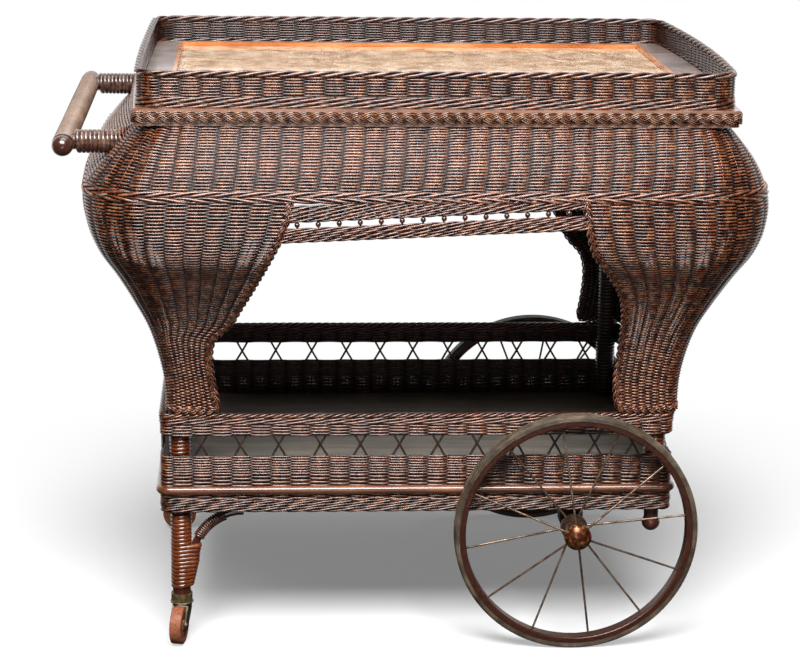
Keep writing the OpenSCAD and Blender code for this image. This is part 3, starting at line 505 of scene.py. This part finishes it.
def rope(rods, line, out, up, turn, reach_out, reach_up, radius, count=3, hand=1, closed=True,
         tones=(0.2, 0.8), phase=0.0):
    """Rods twisted round a line, as in a wale or a rolled border. turn is the length in
    which a rod goes once round; the reach is how far it stands out and up."""
    run, whole, turns = rounds(line, turn, closed)
    for k in range(count):
        angle = hand * 2 * math.pi * turns * run / whole + 2 * math.pi * k / count + phase
        push = (out * (np.cos(angle) * reach_out)[:, None]
                + up * (np.sin(angle) * reach_up)[:, None])
        rods.lay(line, radius, push, np.cos(angle), rng.uniform(*tones), closed)


def plait(rods, line, out, up, turn, width, depth, radius, rods_each=2, closed=True):
    """A flat plait of three strands, each of a few rods laid side by side."""
    run, whole, turns = rounds(line, turn, closed)
    rate = 2 * math.pi * turns / whole
    along = direction(line, closed)
    swing = width / 2 - rods_each * radius
    for k in range(3):
        angle = rate * run + 2 * math.pi * k / 3
        across = swing * np.sin(angle)
        lean = np.arctan(swing * rate * np.cos(angle))
        side = up * np.cos(lean)[:, None] - along * np.sin(lean)[:, None]
        height = depth * np.sin(2 * angle)
        for j in range(rods_each):
            # rods side by side, with 5 % of air between them
            spread = (j - (rods_each - 1) / 2) * radius * 2.05
            push = out * height[:, None] + up * across[:, None] + side * spread
            rods.lay(line, radius, push, np.clip(height / depth, -1, 1), rng.uniform(0.3, 0.9),
                     closed)


# ---------------------------------------------------------------- The woven body's shape
TOP_X, SHELF_X = 28.5, 12.0
STAKE_GAP = 28.5
WALING_Z, TOP_Z = 688, 777
FOOT_Z = 352
FOOT_L, FOOT_W = 367, 262
BELLY = [(352, 0), (400, 2), (440, 9), (480, 24), (520, 47), (560, 74), (600, 101), (640, 113),
         (688, 109), (720, 96), (750, 76), (777, 50)]
END_BELLY = [(352, 2), (400, 5), (440, 13), (480, 25), (520, 44), (560, 65), (600, 88),
             (640, 101), (688, 102), (720, 84), (750, 60), (777, 35)]
LEAN = [(0, 12), (352, 19.5), (480, 19), (600, 20.5), (660, 19), (688, 17.5), (720, 22.5),
        (777, 28.5)]
END_BOW = [(352, 0), (480, 5), (640, 14), (777, 8)]
CORNER = [(352, 20), (480, 40), (600, 80), (688, 86), (777, 45)]
ARCH = {-1: [(352, 295), (400, 304), (443, 307), (469, 300), (485, 283), (520, 264),
             (600, 225.5), (640, 206.5), (688, 191)],
        1: [(352, 281), (400, 277), (443, 280), (500, 280), (540, 270), (571, 251),
            (609, 223.5), (640, 214.5), (688, 209)]}
END_ARCH = 0.66       # the arches of the ends are narrower by this
BAND_RISE = 0.046     # rise of the bands and their beads for each mm to the wheel end
BEAD_Z = 659.2
HANDLE_Z, ARM_Y = 746, 250
TILT = math.radians(0.66)   # the handle's back end stands higher by this turn
QUARTER = 28                   # stakes from the middle of the front to the middle of an end
FRONT_FLAT, END_FLAT = 12, 8   # stakes at an even distance, the rest share the corner


def mid_x(z):
    return smooth_curve(LEAN, z)


def half_l(z):
    return FOOT_L + smooth_curve(END_BELLY, z)


def half_w(z):
    return FOOT_W + smooth_curve(BELLY, z) + np.interp(z, [700, 777], [0, 6])


def bow(z, y):
    return smooth_curve(END_BOW, z) * (1 - (y / half_w(z)) ** 2)


def round_corner(a, b, r, inset, start, end, flat, bend):
    """x and y along a quarter plan of half length a and half width b: from start on the
    front to end on the end face, with flat points on each and bend points on the corner."""
    turn = np.linspace(0, math.pi / 2, bend)
    x = np.concatenate([np.linspace(start, a - r, flat + 1)[:-1],
                        a - r + (r - inset) * np.sin(turn), np.full(flat, a - inset)])
    y = np.concatenate([np.full(flat, b - inset), b - r + (r - inset) * np.cos(turn),
                        np.linspace(b - r, end, flat + 1)[1:]])
    return x, y


def quarter_line(z, inset, front, end):
    """A quarter of the body's plan at a height, from the front face round to the end face."""
    x, y = round_corner(half_l(z), half_w(z), smooth_curve(CORNER, z), inset, front, end,
                        12, 15)
    return np.column_stack([x + bow(z, y), y])


def placed(quarter, sx, sy, z):
    return np.column_stack([mid_x(z) + sx * quarter[:, 0], sy * quarter[:, 1],
                            np.full(len(quarter), z)])


def ring_row(z, inset, per_stake):
    """The whole plan line at a height, from the middle of the front to the right, with an
    even number of points from stake to stake."""
    line = quarter_line(z, inset, 0, 0)
    _, whole = lengths(line)
    count = np.arange(QUARTER * per_stake + 1) / per_stake
    corner_end = QUARTER - END_FLAT
    at = np.interp(count, [0, FRONT_FLAT, corner_end, QUARTER],
                   [0, FRONT_FLAT * STAKE_GAP, whole - END_FLAT * STAKE_GAP, whole])
    quarter = resample(line, at)
    back = quarter[::-1]
    return np.vstack([placed(quarter, 1, -1, z)[:-1], placed(back, 1, 1, z)[:-1],
                      placed(quarter, -1, 1, z)[:-1], placed(back, -1, -1, z)[:-1]])


def leg_row(sx, sy, z, inset, per_stake):
    """A leg's plan line at a height, from its front edge to its end edge, and the places
    of its points counted in stakes from the middle of the front. Seen from behind, the back
    has the same shape as the front seen from the front."""
    face, side = ARCH[-sx * sy], ARCH[sx]
    first = smooth_curve(face, WALING_Z) / STAKE_GAP
    last = QUARTER - END_ARCH * smooth_curve(side, WALING_Z) / STAKE_GAP
    line = quarter_line(z, inset, smooth_curve(face, z), END_ARCH * smooth_curve(side, z))
    _, whole = lengths(line)
    n = int((last - first) * per_stake) + 1
    share = np.linspace(0, 1, n)
    return placed(resample(line, share * whole), sx, sy, z), first + share * (last - first)


def level_heights(low, high, pitch):
    """Heights of rows that lie a pitch apart along the swelling wall."""
    z = np.linspace(low, high, 400)
    run = np.concatenate([[0], np.cumsum(np.hypot(np.diff(z), np.diff(half_w(z))))])
    n = int(run[-1] / pitch)
    return np.interp((np.arange(n) + 0.5) * run[-1] / n, run, z)


WEAVE_MID = 2.25      # the middle of the woven wall lies this far inside its outer face
REED_R, STAKE_R = 1.6, 1.6
REED_PITCH, LEG_PITCH = 2.12, 2.3
LIFT = (1.9, 0.7)     # how far a reed swings out over a stake, and in behind the next

# Plan outlines: length, width and corner radius, and how far the left and right ends bow out
BOARD_PLAN, BOARD_EDGE_Z = (838, 649, 12, (9, 9)), 789
GALLERY_PLAN, RIM_PLAN = (829, 625, 34, (3, 11)), (830, 626, 34.5, (3, 11))
SHELF_PLAN = (743, 522, 14, (0, 0))


def plan_line(plan, inset, n):
    """A plan outline drawn inwards by inset, as n points at even distances."""
    l, w, r, bows = plan
    l, w, r = l - 2 * inset, w - 2 * inset, r - inset
    x, y = round_corner(l / 2, w / 2, r, 0, 0, 0, 20, 13)
    swell = np.clip(1 - (y / (w / 2 - r)) ** 2, 0, 1)
    left, right = (np.column_stack([x + reach * swell, y]) for reach in bows)
    ring = np.vstack([right[:-1] * [1, -1], right[:0:-1], left[:-1] * [-1, 1],
                      left[:0:-1] * [-1, -1]])
    _, whole = lengths(ring, True)
    return resample(ring, np.arange(n) / n * whole, True)


def at_height(ring, x0, z):
    return np.column_stack([ring[:, 0] + x0, ring[:, 1], np.full(len(ring), z)])


def side_ways(line, closed=True):
    """Outward and upward directions of a level line that runs anticlockwise."""
    out = unit(np.cross(direction(line, closed), [0, 0, 1]))
    return out, np.tile([0, 0, 1.0], (len(line), 1))


# ---------------------------------------------------------------- Woven pieces
def make_upper_weave():
    per = 6
    heights = level_heights(WALING_Z + 4, TOP_Z - 1, REED_PITCH)
    grid = np.array([ring_row(z, WEAVE_MID, per) for z in heights])
    stakes = np.arange(grid.shape[1]) / per
    # rows part round the two arms of the handle
    gap, reach, handle_end_x = 18.0, 90, -320
    for sy in (-1, 1):
        arm_z = HANDLE_Z + sy * ARM_Y * math.sin(TILT)
        dy, dz = grid[..., 1] - sy * ARM_Y, grid[..., 2] - arm_z
        away = np.hypot(dy, dz)
        pushed = (away ** 3 + gap ** 3) ** (1 / 3)
        near = (grid[..., 0] < handle_end_x) & (away < reach)
        ratio = np.where(near, pushed / np.maximum(away, 1e-6), 1)
        grid[..., 1] = sy * ARM_Y + dy * ratio
        grid[..., 2] = arm_z + dz * ratio
    n = grid.shape[1]
    front, back = np.r_[n * 3 // 4:n, 0:n // 4 + 1], np.arange(n // 4, n * 3 // 4 + 1)
    for name, part, old in (("upper_weave_front", front, ["upper_weave"]),
                            ("upper_weave_back", back, [])):
        rods = Rods()
        weave(rods, grid[:, part], stakes[part], False, REED_R, LIFT)
        rods.piece(name, REED, replaces=old, sides=5, sway=0.6)
    rods = Rods()
    z = np.linspace(WALING_Z - 2, TOP_Z, 9)
    posts = np.array([ring_row(h, WEAVE_MID, 1) for h in z])
    for k in range(posts.shape[1]):
        rods.lay(posts[:, k], STAKE_R, tone=0.4)
    rods.piece("upper_stakes", STAKE, sway=0)
    rods = Rods()
    for z, hand in ((WALING_Z + 3.2, 1), (WALING_Z - 4.2, -1)):
        line = ring_row(z, WEAVE_MID - 1.5, 5)
        out, up = side_ways(line)
        rope(rods, line, out, up, 3.3 * STAKE_GAP, 2.2, 2.7, 2.05, hand=hand)
    rods.piece("waling_rope", REED, sway=1.2)


def make_leg(name, sx, sy):
    outward = -sx * sy
    heights = level_heights(FOOT_Z + 4, WALING_Z - 4, LEG_PITCH)
    rows = [leg_row(sx, sy, z, WEAVE_MID, 5) for z in heights]
    grid = np.array([row for row, _ in rows])
    stakes = rows[0][1]
    rods = Rods()
    weave(rods, grid, stakes, False, REED_R, LIFT, outward)
    rods.piece(name + "_reed", REED, replaces=[name], sides=5, sway=0.6)
    rods = Rods()
    z = np.linspace(FOOT_Z, WALING_Z, 25)
    column = [leg_row(sx, sy, h, WEAVE_MID, 5) for h in z]
    for s in range(math.ceil(column[0][1][0]), math.floor(column[0][1][-1]) + 1):
        line = [[np.interp(s, place, points[:, k]) for k in range(3)]
                for points, place in column]
        rods.lay(line, 1.5, tone=0.4)
    rods.piece(name + "_stakes", STAKE, sway=0)
    # the plait runs down the front edge, round the foot and up the end edge, flat on the wall
    z = np.linspace(WALING_Z + 4, FOOT_Z + 8, 40)
    along, up = slopes(grid, False)
    normal = unit(np.cross(along, up)) * outward

    def edge(column, z):
        points = np.array([leg_row(sx, sy, min(h, WALING_Z), 0.5, 5)[0][column] for h in z])
        points[:, 2] = z
        return np.column_stack([points] + [np.interp(z, heights, normal[:, column, k])
                                           for k in range(3)])

    foot = leg_row(sx, sy, FOOT_Z + 4, 0, 5)[0]
    foot = np.hstack([foot, side_ways(foot, False)[0] * outward])
    path = np.vstack([edge(0, z), foot[3:-3], edge(-1, z[::-1])])
    _, whole = lengths(path)
    path = resample(path, np.arange(0, whole, 2.5))
    kernel = np.ones(7) / 7
    soft = np.column_stack([np.convolve(np.pad(path[:, k], 3, "edge"), kernel, "valid")
                            for k in range(6)])
    soft, out = soft[:, :3], soft[:, 3:]
    along = unit(np.gradient(soft, axis=0))
    out = unit(out - along * (out * along).sum(1)[:, None])
    across = unit(np.cross(along, out))
    rods = Rods()
    plait(rods, soft, out, across, 34, 13, 1.8, 1.5, rods_each=2, closed=False)
    rods.piece(name + "_plait", REED, sway=0.6)


def make_gallery():
    per, stakes_n = 6, 100
    ring = plan_line(GALLERY_PLAN, 3.5, stakes_n * per)
    stakes = np.arange(len(ring)) / per
    heights = 813.4 + np.arange(15) * 2.0
    grid = np.array([at_height(ring, TOP_X, z) for z in heights])
    rods = Rods()
    # low on the front the first two rows have worn away
    gone = np.zeros(grid.shape[:2], bool)
    front = (grid[0, :, 1] < -290) & (grid[0, :, 0] > -262) & (grid[0, :, 0] < 150)
    gone[0], gone[1] = front, front & (grid[0, :, 0] > -180)
    weave(rods, grid, stakes, True, 1.5, (1.9, 0.9), skip=gone)
    rods.piece("gallery_reed", REED, replaces=["gallery_wall"], sides=5, sway=0.6)
    rods = Rods()
    for k in range(0, len(ring), per):
        rods.stand(ring[k, 0] + TOP_X, ring[k, 1], (800, 822, 845), STAKE_R)
    rods.piece("gallery_stakes", STAKE, sway=0)
    rods = Rods()
    for z in (802.3, 806.9, 811.5):
        line = at_height(plan_line(GALLERY_PLAN, 2.5, 500), TOP_X, z)
        rope(rods, line, *side_ways(line), 3.4 * STAKE_GAP, 2.2, 2.2, 1.75, phase=z)
    rods.piece("gallery_wale", REED)
    rods = Rods()
    line = at_height(plan_line(RIM_PLAN, 4, 900), TOP_X, 846.2)
    rope(rods, line, *side_ways(line), 3 * STAKE_GAP, 3.2, 2.8, 2.3)
    rods.piece("gallery_rolled_rim", REED, replaces=["gallery_rim"])


def make_edge_braid():
    line = at_height(plan_line(BOARD_PLAN, 1.2, 1200), TOP_X, BOARD_EDGE_Z)
    rods = Rods()
    plait(rods, line, *side_ways(line), 53, 17.5, 1.4, 1.2, rods_each=3)
    rods.piece("edge_plait", BRAID, replaces=["edge_braid"], sides=5, sway=0.3, kink=0.1)


def make_shelf_walls():
    per, stakes_n = 5, 88
    ring = plan_line(SHELF_PLAN, 2.5, stakes_n * per)
    stakes = np.arange(len(ring)) / per

    def band(low, rows, pitch, radius, lift, first=0):
        grid = np.array([at_height(ring, SHELF_X, z) for z in low + np.arange(rows) * pitch])
        weave(rods, grid, stakes, True, radius, lift, first=first)

    rods = Rods()
    band(260.5, 14, 1.95, 1.5, (1.9, 0.8))
    band(220.5, 15, 2.7, 1.8, (2.4, 1.2), first=1)
    rods.piece("shelf_wall_reed", REED, replaces=["shelf_wall"])
    rods = Rods()
    for k in range(0, len(ring), per):
        for heights in ((203, 250, 285), (319, 330, 346)):
            rods.stand(ring[k, 0] + SHELF_X, ring[k, 1], heights, STAKE_R)
    rods.piece("shelf_stakes", STAKE, sway=0)
    rods = Rods()
    band(318.5, 8, 2.2, REED_R, (1.9, 0.8))
    for z in (337.5, 341.8):
        line = at_height(plan_line(SHELF_PLAN, 2, 440), SHELF_X, z)
        rope(rods, line, *side_ways(line), 3 * STAKE_GAP, 2.2, 1.9, REED_R, phase=z)
    line = at_height(plan_line(SHELF_PLAN, 2.5, 700), SHELF_X, 347)
    rope(rods, line, *side_ways(line), 48, 3.2, 2.4, 1.7, count=4)
    rods.piece("shelf_rail_reed", REED, replaces=["shelf_wall_top"])
    rods = Rods()
    for z in (205.5, 210.5, 215.5, 220.5):
        line = at_height(plan_line(SHELF_PLAN, 1.8, 440), SHELF_X, z)
        rope(rods, line, *side_ways(line), 3 * STAKE_GAP, 2.0, 2.6, REED_R, tones=(0.0, 0.4),
             phase=z * 0.7)
    rods.piece("apron_reed", REED, replaces=["shelf_apron"], sway=1.6)


def make_lattice(name, n, half, place, turn):
    """Crossed stakes, a little bowed, that reach into the bands above and below. half is
    half the length of the side, beyond which no stake goes."""
    rods = Rods()
    c, s = math.cos(turn), math.sin(turn)
    reach, mid_z, spread, height = 0.72, 304, 17, 30
    for i in range(n):
        x0 = (i - (n - 1) / 2) * 2 * STAKE_GAP + rng.uniform(-2, 2)
        for hand in (-1, 1):
            t = np.linspace(-reach, reach, 9)
            x = x0 + hand * (spread * t + rng.uniform(-1.2, 1.2) * (1 - (t / reach) ** 2))
            y = hand * 1.2 * np.cos(t * 2)
            z = mid_z + height * t
            keep = np.abs(x) < half
            if keep.sum() > 2:
                x, y, z = x[keep], y[keep], z[keep]
                line = [place[0] + c * x - s * y, place[1] + s * x + c * y, z]
                rods.lay(np.column_stack(line), 1.8, tone=rng.uniform(0.2, 0.7))
    rods.piece(name + "_stakes", STAKE, replaces=[name], sway=0.3)


def make_arch(name, sy, end):
    """The band between two legs: a lower woven strip, the bead gap, and the strip above."""
    rods = Rods()
    t = np.linspace(0, 1, 90)

    def line(z, inset):
        if end == 0:
            left, right = smooth_curve(ARCH[sy], z), smooth_curve(ARCH[-sy], z)
            x = -left + (left + right) * t
            zz = z + BAND_RISE * x
            return np.column_stack([mid_x(z) + x, sy * (half_w(zz) - inset), zz])
        y = END_ARCH * smooth_curve(ARCH[end], z) * (2 * t - 1)
        return np.column_stack([mid_x(z) + end * (half_l(z) - inset + bow(z, y)), y,
                                np.full(len(t), z)])

    # for each strip: its ropes' heights, their turn and its growth, reach up, and phase
    for rows, (turn, growth), reach_up, shift in (
            ((637.5, 642.5, 647.5, 652.0), (57, 6), 2.0, 1.9),
            ((666.0, 671.5, 677.0, 682.5), (62, 5), 2.2, 2.3)):
        for i, z in enumerate(rows):
            path = line(z, 1.5)
            path[:, 2] = np.minimum(path[:, 2], WALING_Z - 2 + i * 0.6)
            out = np.tile([end, sy, 0.0], (len(path), 1))
            up = np.cross(direction(path, False), out)
            up = unit(up) * np.sign(up[0, 2])
            rope(rods, path, out, up, turn + growth * i, 1.8, reach_up, 1.55, closed=False,
                 phase=i * shift)
    n = 14 if end == 0 else 8
    for i in range(n):
        x = (i - (n - 1) / 2) * STAKE_GAP
        points = []
        for z in (640, BEAD_Z, 680):
            if end == 0:
                zz = z + BAND_RISE * x
                points.append([mid_x(BEAD_Z + BAND_RISE * x) + x, sy * (half_w(zz) - WEAVE_MID),
                               zz])
            else:
                points.append([mid_x(z) + end * (half_l(z) - WEAVE_MID + bow(z, x)), x, z])
        rods.lay(points, 1.4, tone=0.4)
    rods.piece(name + "_reed", REED, replaces=[name], sway=1.2)


# ---------------------------------------------------------------- Windings
LEG_CORE, BRACKET_R, CANE_D, CANE_PITCH = 10.3, 5.5, 5.1, 5.9
CANE_R = 4.0          # the cane is split, so its crown is flatter than a round rod's
BRACKET_X, BEND_R, BEND_Z, BRACKET_Z, BRACKET_TIP = LEG_CORE + BRACKET_R + 0.2, 75, 122, 82, 1
CASTER_POST_X, WHEEL_POST_X, POST_Y = SHELF_X - 343, SHELF_X + 347, 240
BAR_X, ARM_R = 486, 11.5   # the crossbar lies BAR_X to the left of the middle
FINE_PITCH = 3.4      # of the finer cane on the crossbar and the brackets


def bracket_radius(z):
    return np.interp(z, [BRACKET_Z, BEND_Z], [BRACKET_TIP, BRACKET_R])


def bracket_at(z):
    rise = np.clip(z, BEND_Z, BEND_Z + BEND_R) - BEND_Z
    return BRACKET_X - BRACKET_R + bracket_radius(z) + BEND_R - np.sqrt(BEND_R**2 - rise**2)


def wound_line(core, turns, z0, split, steps=30):
    """Middle line of the cane round a leg; below split it takes in the bracket too."""
    a = np.linspace(0, turns * 2 * math.pi, int(turns * steps)) + math.pi
    z = z0 + CANE_PITCH * (a - math.pi) / (2 * math.pi)
    side = np.where(z < split, bracket_at(z), 0)
    small = bracket_radius(z)
    beside = side * np.cos(a) > core - small
    reach = np.where(beside, small, core) + CANE_D + 0.1 - CANE_R
    return np.column_stack([np.where(beside, side, 0) + reach * np.cos(a), reach * np.sin(a), z])


def tilted(points):
    """Handle points turned with the crossbar, whose back end stands a little higher."""
    x, y, z = np.asarray(points, float).T
    c, s = math.cos(TILT), math.sin(TILT)
    above = z - HANDLE_Z
    return np.column_stack([x, y * c - above * s, HANDLE_Z + y * s + above * c])


def coil(centre, first, second, radius, pitch):
    """A close winding round a bent rod, given its middle line and two cross directions."""
    run, whole = lengths(centre)
    at = np.linspace(0, whole, int(whole / pitch * 22))
    turn = 2 * math.pi * at / pitch
    here, one, two = (np.column_stack([np.interp(at, run, v[:, k]) for k in range(3)])
                      for v in (centre, first, second))
    return here + radius * (one * np.cos(turn)[:, None] + two * np.sin(turn)[:, None])


def make_windings():
    rods = Rods()
    for sy in (-1, 1):
        line = wound_line(LEG_CORE, 19, 84, 146)
        rods.lay(line + [CASTER_POST_X, sy * POST_Y, 0], CANE_R, tone=0.6)
    rods.piece("leg_cane_windings", CANE, slot="cane", replaces=["leg_windings"], sides=10,
               sway=0, kink=0.1)
    # finer, darker cane closes round the bent part of the brackets
    rods = Rods()
    t = np.radians(np.linspace(29, 69, 30))
    flat = np.zeros(len(t))
    for sy in (-1, 1):
        centre = np.column_stack([CASTER_POST_X + BRACKET_X + BEND_R * (1 - np.cos(t)),
                                  flat + sy * POST_Y, BEND_Z + BEND_R * np.sin(t)])
        inner = np.column_stack([np.cos(t), flat, -np.sin(t)])
        rods.lay(coil(centre, inner, np.tile([0, 1.0, 0], (len(t), 1)), BRACKET_R + 1.3,
                      FINE_PITCH), 1.75, tone=0.5)
    rods.piece("bracket_cane_windings", DARK_CANE, slot="cane", replaces=["bracket_wraps"],
               sides=8, sway=0, kink=0.1)
    # rings of cane on the posts above the shelf; the back ones take the dark stake finish as
    # painted shade
    z = np.linspace(236, 560, 58 * 16)
    a, r = 2 * math.pi * z / 5.6, 12.9
    for name, sy, finish in (("front_post_windings", -1, CANE),
                             ("back_post_windings_painted_shade", 1, STAKE)):
        rods = Rods()
        for x in (CASTER_POST_X, WHEEL_POST_X):
            rods.lay(np.column_stack([x + r * np.cos(a), sy * POST_Y + r * np.sin(a), z]), 3.4,
                     tone=0.5)
        rods.piece(name, finish, slot="cane", sides=5, sway=0, kink=0.1)
    rods = Rods()
    for sy in (-1, 1):
        a = np.linspace(0, 12.5 * 2 * math.pi, 12 * 36)
        x = -BAR_X + 16.5 + CANE_PITCH * a / (2 * math.pi)
        r = ARM_R + CANE_D + 0.1 - CANE_R
        line = np.column_stack([x, sy * ARM_Y + r * np.cos(a), HANDLE_Z + r * np.sin(a)])
        rods.lay(tilted(line), CANE_R, tone=0.3)
    rods.piece("arm_cane_windings", DARK_CANE, slot="cane", replaces=["arm_windings"],
               sides=10, sway=0, kink=0.1)
    rods = Rods()
    half, r = 268, 13.6
    a = np.linspace(0, 2 * half / FINE_PITCH * 2 * math.pi, int(2 * half / FINE_PITCH * 16))
    y = -half + FINE_PITCH * a / (2 * math.pi)
    rods.lay(tilted(np.column_stack([-BAR_X + r * np.cos(a), y, HANDLE_Z + r * np.sin(a)])), 1.9,
             tone=0.5)
    rods.piece("crossbar_cane_winding", PALE_CANE, slot="pale_cane",
               replaces=["handle_bar_wrap"], sides=6, sway=0.2, kink=0.2)


make_camera()
for finish, names in CAD_FINISH:
    for name in names.split():
        NODES[name].data.materials.clear()
        NODES[name].data.materials.append(finish)
make_upper_weave()
for leg, sx, sy in (("front_left_leg", -1, -1), ("front_right_leg", 1, -1),
                    ("back_left_leg", -1, 1), ("back_right_leg", 1, 1)):
    make_leg(leg, sx, sy)
make_gallery()
make_edge_braid()
make_shelf_walls()
for name, n, half, place, turn in (
        ("front_lattice", 12, 366, (SHELF_X, -258.5), 0),
        ("back_lattice", 12, 366, (SHELF_X, 258.5), 0),
        ("left_lattice", 8, 256, (SHELF_X - 369, 0), math.pi / 2),
        ("right_lattice", 8, 256, (SHELF_X + 369, 0), math.pi / 2)):
    make_lattice(name, n, half, place, turn)
for name, sy, end in (("front_arch", -1, 0), ("back_arch", 1, 0), ("left_arch", 0, -1),
                      ("right_arch", 0, 1)):
    make_arch(name, sy, end)
make_windings()


# ---------------------------------------------------------------- Floor, world and lamps
def seen_or_mirrored(tree, place, start, full):
    """1 for what the camera sees, directly or through glass, and for what lies behind the
    trolley, beyond start to full, where it is mirrored."""
    ray = add(tree, "LightPath").outputs
    depth = add(tree, "SeparateXYZ", {0: place}).outputs["Y"]
    behind = add(tree, "MapRange", {0: depth, 1: start, 2: full})
    mirrored = add(tree, "Math", {0: ray["Is Glossy Ray"], 1: behind}, operation="MULTIPLY")
    seen = add(tree, "Math", {0: ray["Is Camera Ray"], 1: ray["Is Transmission Ray"]},
               operation="MAXIMUM")
    return add(tree, "Math", {0: seen, 1: mirrored}, operation="MAXIMUM")


def make_floor():
    mesh = bpy.data.meshes.new("floor")
    mesh.from_pydata([(-12, -12, 0), (12, -12, 0), (12, 12, 0), (-12, 12, 0)], [],
                     [(0, 1, 2, 3)])
    floor = bpy.data.objects.new("floor", mesh)
    bpy.context.scene.collection.objects.link(floor)
    # matt white paper that keeps the shadow, lightened by a painted white glow
    material, tree, shader, here = new_material("matt_white_paper")
    feed(tree, shader, {"Base Color": colour("#fbfbfb"), "Roughness": 0.95,
                        "Specular IOR Level": 0.0})
    # painted glow: a fifth of full white even under the trolley, full away from it, centred
    # behind and right of the middle so the shadow's front fades most
    flat = add(tree, "Mapping", {"Vector": here, "Location": (-0.08, -0.22, 0),
                                 "Scale": (0.80, 1.0, 1.0)})
    away = add(tree, "VectorMath", {0: flat}, operation="LENGTH").outputs["Value"]
    far = add(tree, "MapRange", {0: away, 1: 0.28, 2: 0.92}, interpolation_type="SMOOTHSTEP")
    far = add(tree, "MapRange", {0: far, 3: 0.20})
    seen = seen_or_mirrored(tree, here, 0.1, 0.8)
    share = add(tree, "Math", {0: far, 1: seen}, operation="MULTIPLY")
    white = add(tree, "Emission", {"Color": (1, 1, 1, 1), "Strength": 1.0})
    seen_white = add(tree, "MixShader", {0: share, 1: shader, 2: white})
    # little of its light comes back on to the trolley's underside
    dim = add(tree, "BsdfDiffuse", {"Color": colour("#404040")})
    both = add(tree, "MixShader", {0: seen, 1: dim, 2: seen_white})
    feed(tree, tree.nodes["Material Output"], {0: both})
    mesh.materials.append(material)


def make_world():
    world = bpy.data.worlds.new("studio")
    bpy.context.scene.world = world
    world.use_nodes = True
    tree = world.node_tree
    tree.nodes.clear()
    soft = add(tree, "Background", {"Color": (1, 1, 1, 1), "Strength": 0.06})
    white = add(tree, "Background", {"Color": (1, 1, 1, 1), "Strength": 1.0})
    toward = add(tree, "TexCoord").outputs["Generated"]
    both = add(tree, "MixShader", {0: seen_or_mirrored(tree, toward, 0.3, 0.7), 1: soft,
                                   2: white})
    add(tree, "OutputWorld", {0: both})


make_floor()
make_world()
make_lamp("key", (-0.25, -2.25, 3.1), (0, -0.1, 0.5), (2.4, 1.6), 225)
make_lamp("top", (0.1, -0.1, 3.3), (0, 0, 0.4), (2.2, 1.8), 55)
make_lamp("fill", (0.1, -4.0, 0.45), (0, 0, 0.5), (2.0, 0.4), 12)
bpy.context.scene.view_settings.view_transform = "Standard"
